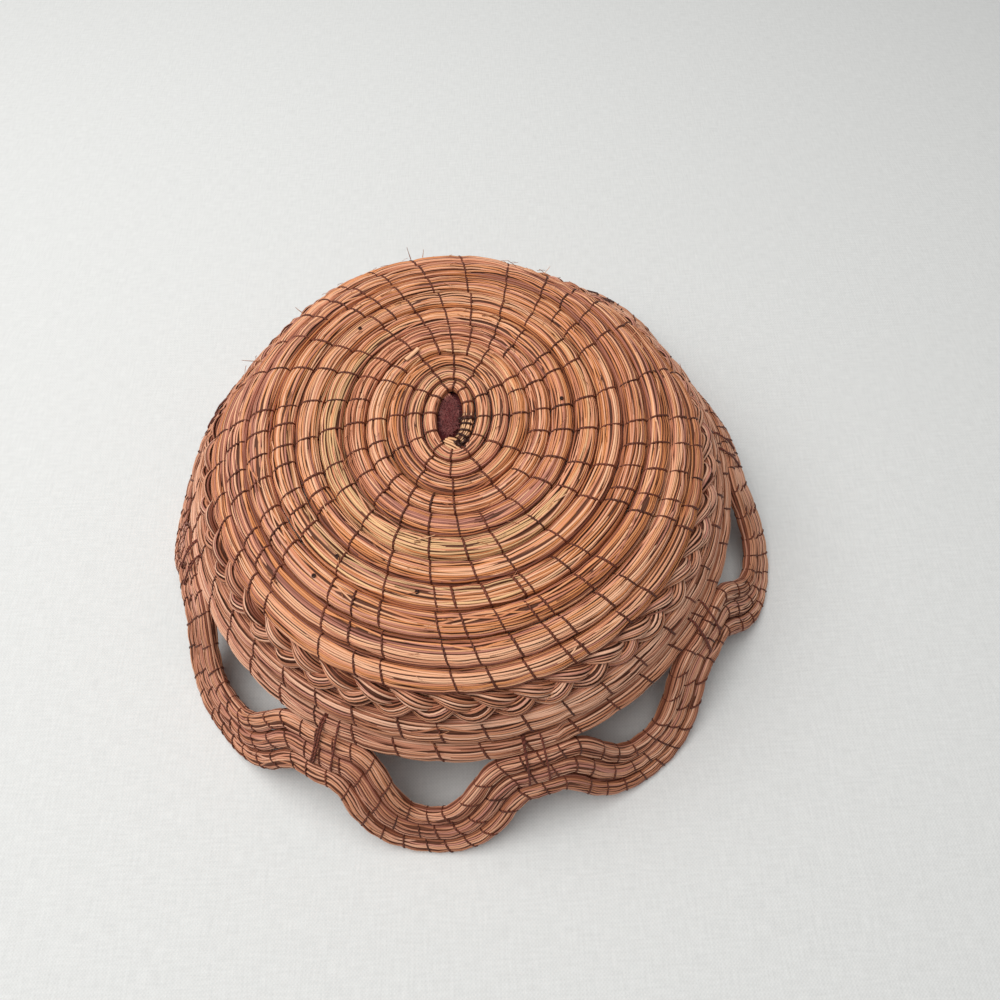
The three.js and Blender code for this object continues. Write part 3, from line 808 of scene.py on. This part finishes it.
def tint_by_turn(turns):
    """Gives each needle its own shade and, by chance, the mauve or the straw of its stretch of the coil."""
    shade_mean, shade_spread = 0.54, 0.26
    sharpness, most_mauve, most_straw, least = 6, 0.85, 0.9, 0.01

    def share_of(wanted, chance, most):
        return np.clip((wanted - chance) * sharpness + 0.5, 0, most) * (wanted > least)

    def tint_at(held, random):
        at = turns[held]
        stretch = np.interp(at, STRETCH_TURNS * np.arange(len(STRETCHES)), STRETCHES)
        mauve, straw, lift = (np.interp(at, ROW_TINTS[:, 0], column) for column in ROW_TINTS[:, 1:].T)
        # The lift holds painted light on the wall's rows as well as their own lighter and darker tones
        shade = random.normal(shade_mean, shade_spread) + lift + stretch
        mauve = share_of(mauve, random.random(), most_mauve)
        straw = share_of(straw, random.random(), most_straw)
        return np.stack([shade, mauve, straw, np.full(len(at), random.random())], -1)

    return tint_at


def row_route(spiral, turns, stitches, look):
    """Where the row runs and how wide it is at these turns. A row is narrower where a stitch holds it."""
    pinch_length, overlap = 1.9 * MM, 0.05 * MM
    middle, out, up = spiral.frames(turns, turns[0], turns[-1])
    distance = travelled(middle)
    held_at = np.interp(stitches[(stitches > turns[0]) & (stitches < turns[-1])], turns, distance)
    pinch = 1 - look.pinch * sum(np.exp(-(((distance - at) / pinch_length) ** 2)) for at in held_at)
    pinch = np.maximum(pinch, 1 - look.pinch)
    radius = spiral.row_radius(turns)
    half_width = (radius + spiral.shape.row_gap / 2) * (1 + pinch) / 2
    half_height = (radius * spiral.hexagon_rise + overlap) * pinch
    return Route(middle, out, up, half_width, half_height, distance, held_at)


def base_stitches(spiral, thread):
    """Where stitches cross the rows of the base: pairs of turns, at the inner and outer edge of a row.

    Lines of stitches run outwards from the first row. Further out more of them start, first half way
    between two lines and then at some of the quarters.
    """
    first_line, clear_of_plait = 0.15, 0.02
    quarter_chance = 0.62
    line_sway, stitch_sway = 0.0016, 0.0012
    random = np.random.default_rng(31)
    lines = [(first_line + run / thread.runs, 0.0) for run in range(thread.runs)]
    for run in range(thread.runs):
        lines.append((first_line + (run + random.uniform(0.4, 0.6)) / thread.runs, random.uniform(2.6, 4.4)))
    for run in range(thread.runs):
        for side in (0.25, 0.75):
            if random.random() < quarter_chance:
                lines.append((first_line + (run + side) / thread.runs, random.uniform(6.2, 8.4)))
    stitches = []
    for first, after in lines:
        sway = random.normal(0, line_sway)
        for start in np.arange(first, spiral.plait_start, 1):
            if start < after or start > spiral.plait_start - clear_of_plait:
                continue
            reach = spiral.reach(start)
            half = spiral.pitch(start) / 2
            inner, outer = (
                start + np.radians(thread.slant) * (reach + side) / MM / TURN for side in (-half, half)
            )
            shake = sway + random.normal(0, stitch_sway)
            if outer + shake < spiral.plait_start:
                stitches.append((inner + shake, outer + shake))
    return np.array(sorted(stitches))


def slanting_stitches(starts, seed, sway, before, after):
    """Pairs of turns for stitches that cross a row near the turns given."""
    starts = starts + np.random.default_rng(seed).normal(0, sway, len(starts))
    return np.stack([starts - before, starts + after], -1)


def wall_stitches(spiral):
    in_a_turn = 44
    steps = (np.arange(in_a_turn * spiral.shape.wall_turns) + 0.5) / in_a_turn
    return slanting_stitches(spiral.wall_start + steps, seed=32, sway=0.0012, before=0.0015, after=0.0045)


def rim_stitches(spiral, row, thread):
    steps = (np.arange(thread.rim_stitches) + 0.5 + 0.5 * (row % 2)) / (thread.rim_stitches + 1)
    starts = spiral.rim_start + row + steps
    return slanting_stitches(starts, seed=33 + row, sway=0.0007, before=0.0008, after=0.0022)


def turns_along(spiral, from_turn, to_turn, step):
    """Turns between two, spaced evenly along the row."""
    short_of_end, fine_steps, fewest = 1e-6, 4000, 4
    fine = np.linspace(from_turn, to_turn - short_of_end, fine_steps)
    distance = travelled(spiral.station(fine)[0])
    even = np.linspace(0, distance[-1], max(fewest, int(distance[-1] / step)))
    return np.interp(even, distance, fine)


def lay_row(names, spiral, turns, slots, seed, stitches, finish, slot, nodes=()):
    """Lays one run of the coil. Its needles are shared out over the pieces named."""
    look = bpy.context.scene.needle_look
    route = row_route(spiral, turns, stitches, look)
    needles = [Tubes(NEEDLE_SIDES) for _ in names]
    lay_needles(needles, route, slots, look, np.random.default_rng(seed), tint_by_turn(turns))
    for name, tubes in zip(names, needles):
        replaced = nodes if name == names[0] else ()
        place(name + "_needles", tubes, needle_material(finish), replaced)
    place(names[0] + "_shade", core(route), needle_material("shade between needles"))


class BASKET_OT_bowl_rows(bpy.types.Operator):
    """Lays the needles of the base and the shoulder"""

    bl_idname = "basket.bowl_rows"
    bl_label = "Bowl rows"

    def execute(self, context):
        spiral, look, thread = settings()
        stitches = base_stitches(spiral, thread).mean(1)
        finish = ("bowl needles", "bowl_needles")
        # The first rows, of fewer needles, and the others, whose first needles lie between the last of those
        few_from, few_to, all_from, past_end = 0.13, 3.04, 2.96, 0.012
        turns = turns_along(spiral, few_from, few_to, 1.6 * MM)
        lay_row(["bowl_start"], spiral, turns, look.start_slots, 10, stitches, *finish, ["bowl_coil"])
        names = [f"bowl_part_{part}" for part in (1, 2, 3, 4)]
        turns = turns_along(spiral, all_from, spiral.plait_start + past_end, 2.0 * MM)
        lay_row(names, spiral, turns, look.slots, 11, stitches, *finish)
        return {"FINISHED"}


class BASKET_OT_wall_rows(bpy.types.Operator):
    """Lays the needles of the wall below the plait"""

    bl_idname = "basket.wall_rows"
    bl_label = "Wall rows"

    def execute(self, context):
        spiral, look, _ = settings()
        stitches = wall_stitches(spiral).mean(1)
        under_plait, more_slots = 0.01, 2
        names = ["wall_part_1", "wall_part_2"]
        turns = turns_along(spiral, spiral.wall_start - under_plait, spiral.rim_start, 2.3 * MM)
        slots = look.slots + more_slots
        lay_row(names, spiral, turns, slots, 16, stitches, "rim needles", "wall_needles", ["wall_coil"])
        return {"FINISHED"}


class BASKET_OT_rim_rows(bpy.types.Operator):
    """Lays the needles of the scalloped rim's rows"""

    bl_idname = "basket.rim_rows"
    bl_label = "Rim rows"

    def execute(self, context):
        spiral, look, thread = settings()
        for row, node in enumerate(RIM_ROWS):
            start = spiral.rim_start + row
            turns = turns_along(spiral, start, start + 1, 1.6 * MM)
            stitches = rim_stitches(spiral, row, thread).mean(1)
            finish = ("rim needles", "rim_needles")
            lay_row([node], spiral, turns, look.rim_slots, 20 + row, stitches, *finish, [node])
        return {"FINISHED"}


class BASKET_OT_plait(bpy.types.Operator):
    """Plaits three strands of needles into the ring round the bowl"""

    bl_idname = "basket.plait"
    bl_label = "Plait"

    def execute(self, context):
        spiral, look, _ = settings()
        random = np.random.default_rng(13)
        strands, points, past_ends = 3, 460, 0.004
        thick, thicker_on_top, core_width = 0.45, 0.12, 0.7
        half_height, higher_on_top = 2.1, 0.35
        reach_aside, lift = 0.6, 1.6 * MM
        first_crossing, between_crossings = 8 * MM, 16 * MM
        turns = np.linspace(spiral.plait_start - past_ends, spiral.plait_start + 1 + past_ends, points)
        middle, out, up = spiral.frames(turns, turns[0], turns[-1])
        half = spiral.row_radius(turns) + spiral.shape.row_gap / 2
        for strand in range(strands):
            phase = TURN * (look.plait_waves * (turns - turns[0]) + strand / strands)
            lie = -np.sin(2 * phase)
            aside = half * reach_aside * np.sin(phase)
            line = middle + out * aside[:, None] + up * (lift * lie)[:, None]
            along = unit(np.gradient(line, axis=0))
            strand_up = unit(up - along * np.sum(up * along, 1, keepdims=True))
            width = half * (thick + thicker_on_top * lie)
            height = (half_height + higher_on_top * lie) * MM
            distance = travelled(line)
            crossings = np.arange(first_crossing, distance[-1], between_crossings)
            strand_out = np.cross(along, strand_up)
            route = Route(line, strand_out, strand_up, width, height, distance, crossings)
            needles = Tubes(NEEDLE_SIDES)
            lay_needles([needles], route, look.plait_slots, look, random, tint_by_turn(turns))
            replaced = ["plaited_ring"] if strand == 0 else ()
            finish, shade = needle_material("rim needles"), needle_material("shade between needles")
            place(f"plait_strand_{strand + 1}", needles, finish, replaced)
            place(f"plait_shade_{strand + 1}", core(route, core_width), shade)
        return {"FINISHED"}


# Thread


def stitch_loop(tubes, spiral, start, end, thread, look, random, low, high):
    """One stitch round a row, from the groove inside it at turn start to the one outside it at turn end."""
    corners, short_of_end = 20, 1e-6
    proud, sunk = thread.radius * 0.35, 0.15 * MM
    thinner_on_rim = 0.85
    turned = np.arange(corners) / corners * TURN
    turns = (start + end) / 2 + (end - start) / 2 * np.cos(turned)
    turns = np.clip(turns, low, high - short_of_end)
    middle, out, up = spiral.frames(turns, low, high)
    radius = spiral.row_radius(turns)
    half_width = (radius + spiral.shape.row_gap / 2) * (1 - look.pinch / 2) - sunk
    half_height = radius * spiral.hexagon_rise * (1 - look.pinch) + proud
    aside = squared(np.cos(turned), look.squareness) * half_width
    rise = squared(np.sin(turned), look.squareness) * half_height
    line = middle + out * aside[:, None] + up * rise[:, None]
    tint = (np.clip(random.normal(0.45, 0.2), 0, 1), 0, 0, random.random())
    thickness = thread.radius * random.uniform(0.85, 1.2) * (thinner_on_rim if low >= spiral.rim_start else 1)
    tubes.lay(line, unit(line - middle), thickness, tint, closed=True)


class BASKET_OT_stitches(bpy.types.Operator):
    """Sews row to row with thread"""

    bl_idname = "basket.stitches"
    bl_label = "Stitches"

    def execute(self, context):
        spiral, look, thread = settings()
        random = np.random.default_rng(34)
        brown = thread_paint("brown thread", thread.brown)
        base_runs = nodes_named("stitch_run_long", "stitch_run_short")
        wall_runs = nodes_named("stitch_run_wall")
        kinds = [
            ("base_stitches", base_stitches(spiral, thread), 0, spiral.plait_start, base_runs),
            ("wall_stitches", wall_stitches(spiral), spiral.wall_start, spiral.rim_start, wall_runs),
        ]
        for row, node in enumerate(RIM_ROWS):
            low = spiral.rim_start + row
            kinds.append((node + "_stitches", rim_stitches(spiral, row, thread), low, low + 1, ()))
        for name, places, low, high, nodes in kinds:
            tubes = Tubes(THREAD_SIDES)
            for start, end in places:
                stitch_loop(tubes, spiral, start, end, thread, look, random, low, high)
            place(name, tubes, brown, nodes)
        return {"FINISHED"}


def hull_loop(spiral, share_round):
    """A closed loop in an upright plane, drawn tight round the wall's last row and two rows of the rim."""
    corners, ease = 30, 0.05 * MM
    turns = spiral.rim_start + np.array([-1, 0, 1]) + share_round
    middles, _ = spiral.station(turns)
    radii = spiral.row_radius(turns) + ease
    heading = spiral.shape.start_angle + TURN * (spiral.rim_start + share_round)
    out = np.array([np.cos(heading), np.sin(heading), 0])
    up = np.array([0, 0, 1.0])
    turned = -np.arange(corners) / corners * TURN
    face = np.cos(turned)[:, None] * out + np.sin(turned)[:, None] * up
    supports = (middles - middles[0]) @ face.T + radii[:, None]
    best = supports.argmax(0)
    return middles[best] + face * radii[best][:, None], face, np.cross(out, up)


class BASKET_OT_lashings(bpy.types.Operator):
    """Lashes the rim to the wall where the lobes meet"""

    bl_idname = "basket.lashings"
    bl_label = "Lashings"

    def execute(self, context):
        spiral, _, thread = settings()
        random = np.random.default_rng(41)
        red = thread_paint("reddish thread", thread.red)
        wraps, sway, past_seam = (-0.0062, -0.005, 0.0052), 0.0004, 0.004
        most_lean, least_waver, most_waver = 1.6, 0.05, 0.2
        thickness = thread.radius * 0.95
        for joint, round_at in enumerate(spiral.lobe_joints[:-1]):
            tubes = Tubes(THREAD_SIDES)
            middle = round_at / TURN + (past_seam if joint == 0 else 0)
            for wrap in wraps:
                line, face, side = hull_loop(spiral, middle + (wrap + random.normal(0, sway)))
                half_round = np.linspace(0, np.pi, len(line))
                lean = np.sin(half_round) * random.uniform(-most_lean, most_lean) * MM
                waver = np.sin(4 * half_round) * random.uniform(least_waver, most_waver) * MM
                tint = (random.normal(0.4, 0.1), 0, 0, random.random())
                tubes.lay(line + side * (lean + waver)[:, None], face, thickness, tint, closed=True)
            place(f"joint_threads_{joint + 1}", tubes, red, [f"joint_lashing_{joint + 1}"])
        return {"FINISHED"}


# The start of the coil, in millimetres from the axis: the opening over the felt, ends of the pale and brown
# strips across it, middles and sizes of the knots
OPENING_MIDDLE = np.array([-1.1, 0.8])
OPENING_HALF = np.array([3.1, 7.6])
FIBRES_HALF = np.array([3.0, 7.4])
PALE_STRIPS = [
    ((-2.4, -8.2), (2.9, -11.4)), ((-2.9, -9.0), (2.2, -12.2)), ((-3.3, -9.9), (1.4, -12.9)),
    ((-3.5, -10.8), (0.5, -13.3)), ((-2.6, -12.3), (3.4, -12.6)), ((-1.6, -7.9), (2.6, -9.6)),
]
BROWN_STRIPS = [((-3.2, 9.6), (-1.6, 6.6)), ((-2.5, 9.9), (-0.9, 7.0)), ((-1.7, 10.0), (-0.3, 7.6))]
KNOTS = [
    (3.0, -11.4, 1.25), (4.3, -9.2, 1.0), (5.6, -10.6, 0.9), (3.6, -12.9, 0.9), (-4.0, -10.6, 0.85),
    (2.6, -1.4, 0.6), (1.2, -10.2, 0.7),
]
START_TURNS = (-0.01, 0.17)


def felt_patch(spiral, random):
    """A disc of felt that swells up into the opening."""
    rings, sectors = 26, 60
    thickness, roughness, edge_level, top_margin = 1.2 * MM, 0.07 * MM, 0.1 * MM, 1.35 * MM
    swell_edge, steepness = 0.95, 9
    low, high = (np.array(corner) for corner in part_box("centre_patch"))
    middle, half = (low + high) / 2, (high - low) / 2
    part = (np.arange(rings + 1) / rings)[:, None, None]
    turned = np.arange(sectors) / sectors * TURN
    xy = middle[:2] + half[:2] * part * np.stack([np.cos(turned), np.sin(turned)], -1)
    off = (xy - spiral.axis[:2] - OPENING_MIDDLE * MM) / (OPENING_HALF * MM)
    swell = 1 / (1 + np.exp((np.linalg.norm(off, axis=-1) - swell_edge) * steepness))
    level = low[2] + thickness + swell * (high[2] - low[2] - top_margin)
    level += random.normal(0, roughness, level.shape)
    level[-1] = low[2] + edge_level
    ring, sector = np.divmod(np.arange(rings * sectors), sectors)
    here, beside = ring * sectors + sector, ring * sectors + (sector + 1) % sectors
    quads = np.stack([here, here + sectors, beside + sectors, beside], -1)
    return mesh_of("felt_patch", np.concatenate([xy, level[..., None]], -1).reshape(-1, 3), quads)


def felt_fibres(spiral, random):
    """Fine fibres that stand off the felt in the opening."""
    tries, thickness, depth = 900, 0.06 * MM, 0.25 * MM
    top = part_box("centre_patch")[1][2]
    steps = np.linspace(0, 1, 5)
    fibres = Tubes(FIBRE_SIDES)
    for _ in range(tries):
        off = random.uniform(-1, 1, 2)
        if np.linalg.norm(off) > 1:
            continue
        start = spiral.axis[:2] + OPENING_MIDDLE * MM + off * FIBRES_HALF * MM
        heading = random.uniform(0, TURN)
        reach = random.uniform(0.6, 1.6) * MM
        xy = start + np.outer(steps, [np.cos(heading), np.sin(heading)]) * reach
        rise = top + np.sin(steps * np.pi) * random.uniform(0.05, 0.4) * MM - depth
        tint = (random.random(), 0, 0, random.random())
        fibres.lay(np.column_stack([xy, rise]), [0, 0, 1], thickness, tint)
    return fibres


def lay_strips(tubes, spiral, strips, level, tint, random):
    """Short flat needles lying across the opening."""
    half_width, flatness = 0.5 * MM, 0.6
    steps = np.linspace(0, 1, 9)
    for start, end in strips:
        xy = np.outer(1 - steps, start) + np.outer(steps, end)
        bulge = np.sin(steps * np.pi) * random.uniform(0.1, 0.5)
        line = np.column_stack([xy * MM + spiral.axis[:2], level + bulge * MM])
        shade = tint[0] + random.normal(0, 0.12)
        tubes.lay(line, [0, 0, 1], half_width, (shade, *tint[1:], random.random()), flatness)


def lay_start(spiral, look, random):
    """The pale needles that the coil starts with, and those that cross the end of the opening."""
    ties = np.array([0.03, 0.075, 0.115, 0.145])
    needles_round, pale_depth, brown_depth = 17, 1.9 * MM, 2.6 * MM
    route = row_route(spiral, np.linspace(*START_TURNS, 60), ties, look)

    def pale(held, random):
        return np.tile([random.normal(0.85, 0.2), 0, 0.55, random.random()], (len(held), 1))

    start = Tubes(NEEDLE_SIDES)
    lay_needles([start], route, needles_round, look, random, pale)
    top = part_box("bowl_coil")[1][2]
    lay_strips(start, spiral, PALE_STRIPS, top - pale_depth, (0.85, 0, 0.5), random)
    lay_strips(start, spiral, BROWN_STRIPS, top - brown_depth, (0.2, 0.8, 0), random)
    place("start_needles", start, needle_material("bowl needles"), ["start_wrap"])
    place("start_shade", core(route), needle_material("shade between needles"))


def tie_start(spiral, look, thread, random):
    """The dark thread that binds the start of the coil, with its knots."""
    knot_size, knot_depth, thickness = np.array([0.42, 0.42, 0.6]), 1.2 * MM, 0.36 * MM
    ties = Tubes(THREAD_SIDES)
    for turn in (0.03, 0.07, 0.112, 0.142):
        slip = random.normal(0, 0.004)
        stitch_loop(ties, spiral, turn - slip, turn + slip, thread, look, random, *START_TURNS)
    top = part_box("bowl_coil")[1][2]
    t = np.linspace(0, TURN, 60, endpoint=False)
    trefoil = np.stack([np.sin(t) + 2 * np.sin(2 * t), np.cos(t) - 2 * np.cos(2 * t), -np.sin(3 * t)], -1)
    for x, y, size in KNOTS:
        ball = trefoil * knot_size * MM * size
        middle = spiral.axis + np.array([x * MM, y * MM, top - knot_depth])
        ties.lay(ball + middle, unit(ball), thickness, (0.3, 0, 0, random.random()), closed=True)
    dark = thread_paint("knot thread", toned(thread.brown, 0.4))
    place("start_ties", ties, dark, ["start_knot"])


class BASKET_OT_centre(bpy.types.Operator):
    """Makes the felt patch and the pale start of the coil with its ties"""

    bl_idname = "basket.centre"
    bl_label = "Centre"

    def execute(self, context):
        spiral, look, thread = settings()
        random = np.random.default_rng(51)
        felt = felt_paint("felt", toned(thread.felt, 0.5), toned(thread.felt, 1.2), 1500.0)
        place("felt_patch", felt_patch(spiral, random), felt, ["centre_patch"])
        fuzz = felt_paint("felt fibres", thread.felt, thread.felt_pale, 900.0)
        place("felt_fibres", felt_fibres(spiral, random), fuzz)
        lay_start(spiral, look, random)
        tie_start(spiral, look, thread, random)
        return {"FINISHED"}


# Loose needles: place in millimetres from the axis, way to the tip in millimetres, thickness and shade
LOOSE_NEEDLES = [
    ((-14.0, 69.0), (-1.0, 1.5, 4.5), 0.2, 0.2), ((-10.0, 69.5), (0.6, 1.5, 2.5), 0.15, 0.4),
    ((-60.0, 26.5), (-6.5, 0.0, 0.8), 0.22, 0.1), ((-50.0, 47.5), (-2.6, 1.6, 1.6), 0.2, 0.3),
    ((61.0, 31.0), (2.2, 1.8, 2.0), 0.16, 0.5), ((55.0, 42.0), (1.6, 2.6, 1.8), 0.16, 0.6),
    ((-17.5, 24.5), (4.2, 4.4, 0.4), 0.8, 1.3), ((30.0, 60.0), (2.5, 1.5, 2.2), 0.16, 0.6),
    ((-30.0, 10.0), (1.0, 5.0, 0.8), 0.25, 0.2), ((28.0, -32.0), (5.0, 2.5, 0.8), 0.25, 1.0),
    ((40.0, -20.0), (2.0, 5.0, 0.9), 0.25, 0.9), ((-12.0, -46.0), (6.0, 1.0, 0.8), 0.25, 0.9),
    ((10.0, 40.0), (6.0, -1.0, 0.8), 0.25, 0.2), ((-40.0, -30.0), (2.0, -5.0, 0.8), 0.25, 1.0),
    ((62.0, -30.0), (1.5, 4.0, 0.9), 0.25, 0.9), ((-25.0, 52.0), (4.0, 2.0, 0.8), 0.25, 0.3),
]
# Specks of resin, in millimetres from the axis
SPECKS = [(-10.6, -62.7), (-38.6, -53.0), (-34.1, -49.5), (33.0, 4.0), (-30.0, 36.0)]
# How far out from the middle of its row a loose end starts, as a share of the row's radius
ROOT_REACH = 0.95


def top_of_row(spiral, x, y):
    """The top of the row that runs closest to a place, and which way is up there."""
    first_turn, step = 0.2, 0.001
    turns = np.arange(first_turn, spiral.rim_start, step)
    points, _ = spiral.station(turns)
    off = np.linalg.norm(points[:, :2] - spiral.axis[:2] - np.array([x, y]) * MM, axis=1)
    turn = turns[off.argmin()]
    middle, _, up = spiral.row_at(turn)
    return middle + up * spiral.row_radius(turn) * ROOT_REACH, up


def loose_needles(tubes, spiral, random):
    """The few ends of needles that stand out of the rows."""
    sag, flatness, tip_share, blunt_from = 0.8 * MM, 0.7, 0.4, 0.5
    steps = np.linspace(0, 1, 8)
    bow = (steps * (1 - steps))[:, None] * [0, 0, -sag]
    for (x, y), reach, radius, shade in LOOSE_NEEDLES:
        start, _ = top_of_row(spiral, x, y)
        line = start + np.array(reach) * MM * steps[:, None] + bow
        thin = radius * MM * (1 if radius > blunt_from else np.linspace(1, tip_share, len(steps)))
        tubes.lay(line, [0.1, 0, 1], thin, (shade, 0, 0.2, random.random()), flatness)


def loose_hairs(tubes, spiral, hairs, random):
    """The many fine hairs that stand off the rows."""
    sag, first_turn, last_turn = 0.5 * MM, 2, spiral.wall_start + 1.5
    steps = np.linspace(0, 1, 6)[:, None]
    for _ in range(hairs):
        turn = random.uniform(first_turn, last_turn)
        middle, out, up = spiral.row_at(turn)
        lean = random.normal(0, 0.35)
        along = unit(np.cross(up, out)) * random.choice([-1, 1])
        start = middle + (up * np.cos(lean) + out * np.sin(lean)) * spiral.row_radius(turn) * ROOT_REACH
        heading = along + up * random.uniform(0.15, 0.8) + out * random.normal(0, 0.4)
        line = start + unit(heading) * random.uniform(1.2, 4.5) * MM * steps - up * sag * steps ** 2
        tint = (random.normal(0.45, 0.3), 0, 0, random.random())
        tubes.lay(line, up, random.uniform(0.05, 0.12) * MM, tint)


def resin_specks(spiral, random):
    """Drops of dark resin, each a tiny closed ring."""
    corners, ring_radius, thickness = 10, 0.35 * MM, 0.33 * MM
    t = np.linspace(0, TURN, corners, endpoint=False)[:, None]
    specks = Tubes(THREAD_SIDES)
    for x, y in SPECKS:
        middle, up = top_of_row(spiral, x, y)
        side = unit(np.cross(up, [1, 0, 0]))
        ring = middle + (np.cos(t) * side + np.sin(t) * np.cross(side, up)) * ring_radius
        specks.lay(ring, up, thickness, (0.1, 0, 0, random.random()), closed=True)
    return specks


class BASKET_OT_loose_ends(bpy.types.Operator):
    """Adds needle ends that stand out of the rows and dark specks of resin"""

    bl_idname = "basket.loose_ends"
    bl_label = "Loose ends"

    def execute(self, context):
        spiral, look, _ = settings()
        random = np.random.default_rng(61)
        ends = Tubes(NEEDLE_SIDES)
        loose_needles(ends, spiral, random)
        loose_hairs(ends, spiral, look.hairs, random)
        place("loose_needles", ends, needle_material("bowl needles"))
        place("resin_specks", resin_specks(spiral, random), bpy.data.materials["knot thread"])
        return {"FINISHED"}


# The stage: half the cloth's side, the lamp's side and place, the light from all round, the camera's place
# from the spot on the ground below the patch, and the width of its picture in millimetres
CLOTH_REACH = 1.5
LAMP_SIDE = 1.1
LAMP_PLACE = (-0.33, 0.03, 0.9)
SKY_COLOUR = (0.93, 0.96, 1.0, 1)
CAMERA_PLACE = np.array([12.84, -150.14, 266.24]) * MM
PICTURE_WIDTH = 36


def lay_cloth(look):
    corners = [(x * CLOTH_REACH, y * CLOTH_REACH, 0) for x, y in ((-1, -1), (1, -1), (1, 1), (-1, 1))]
    mesh = bpy.data.meshes.new("cloth")
    mesh.from_pydata(corners, [], [(0, 1, 2, 3)])
    mesh.materials.append(cloth_paint("cloth", look.cloth))
    return put("cloth", mesh)


def hang_lamp(look):
    lamp_data = bpy.data.lights.new("large lamp", "AREA")
    lamp_data.size = LAMP_SIDE
    lamp_data.energy = look.light
    lamp = put("large lamp", lamp_data)
    lamp.location = LAMP_PLACE
    direction = -lamp.location
    lamp.rotation_euler = direction.to_track_quat("-Z", "Y").to_euler()
    return lamp


def light_room(look):
    world = bpy.data.worlds.new("room")
    bpy.context.scene.world = world
    world.use_nodes = True
    background = world.node_tree.nodes["Background"]
    background.inputs["Color"].default_value = SKY_COLOUR
    background.inputs["Strength"].default_value = look.sky


def set_camera(look):
    camera_data = bpy.data.cameras.new("camera")
    camera_data.sensor_width = PICTURE_WIDTH
    camera_data.lens = look.lens
    camera = put("camera", camera_data)
    pitch, yaw, roll = look.pitch, look.yaw, look.roll
    forward = np.array([np.sin(yaw) * np.cos(pitch), np.cos(yaw) * np.cos(pitch), -np.sin(pitch)])
    right = np.array([np.cos(yaw), -np.sin(yaw), 0])
    up = np.cross(right, forward)
    turned_right = right * np.cos(roll) + up * np.sin(roll)
    turned_up = -right * np.sin(roll) + up * np.cos(roll)
    spot = node_middle("centre_patch") * (1, 1, 0) + CAMERA_PLACE
    columns = np.column_stack([turned_right, turned_up, -forward, spot])
    camera.matrix_world = Matrix([*columns.tolist(), (0, 0, 0, 1)])
    bpy.context.scene.camera = camera


class BASKET_OT_stage(bpy.types.Operator):
    """Lays the cloth and sets the lights and the camera"""

    bl_idname = "basket.stage"
    bl_label = "Stage"

    def execute(self, context):
        look = context.scene.stage_look
        cloth, lamp = lay_cloth(look), hang_lamp(look)
        light_room(look)
        set_camera(look)
        context.scene.view_settings.view_transform = "Standard"
        return {"FINISHED"}


OPERATORS = (
    BASKET_OT_centre,
    BASKET_OT_bowl_rows,
    BASKET_OT_plait,
    BASKET_OT_wall_rows,
    BASKET_OT_rim_rows,
    BASKET_OT_stitches,
    BASKET_OT_lashings,
    BASKET_OT_loose_ends,
    BASKET_OT_stage,
)


class BASKET_PT_panel(bpy.types.Panel):
    """Lists the basket's pieces and looks."""

    bl_idname = "BASKET_PT_panel"
    bl_label = "Pine needle basket"
    bl_space_type = "VIEW_3D"
    bl_region_type = "UI"
    bl_category = "Basket"

    def draw(self, context):
        for operator in OPERATORS:
            self.layout.operator(operator.bl_idname)
        for group in ("basket_shape", "needle_look", "thread_look", "stage_look"):
            look = getattr(context.scene, group)
            box = self.layout.box()
            for name in look.__annotations__:
                box.prop(look, name)


GROUPS = {
    "basket_shape": BasketShape,
    "needle_look": NeedleLook,
    "thread_look": ThreadLook,
    "stage_look": StageLook,
}


def register():
    for group in (*GROUPS.values(), *OPERATORS, BASKET_PT_panel):
        bpy.utils.register_class(group)
    for name, group in GROUPS.items():
        setattr(bpy.types.Scene, name, PointerProperty(type=group))


def unregister():
    for name in GROUPS:
        delattr(bpy.types.Scene, name)
    for group in reversed((*GROUPS.values(), *OPERATORS, BASKET_PT_panel)):
        bpy.utils.unregister_class(group)


def main():
    register()
    for operator in OPERATORS:
        area, name = operator.bl_idname.split(".")
        getattr(getattr(bpy.ops, area), name)()


if __name__ == "__main__":
    main()
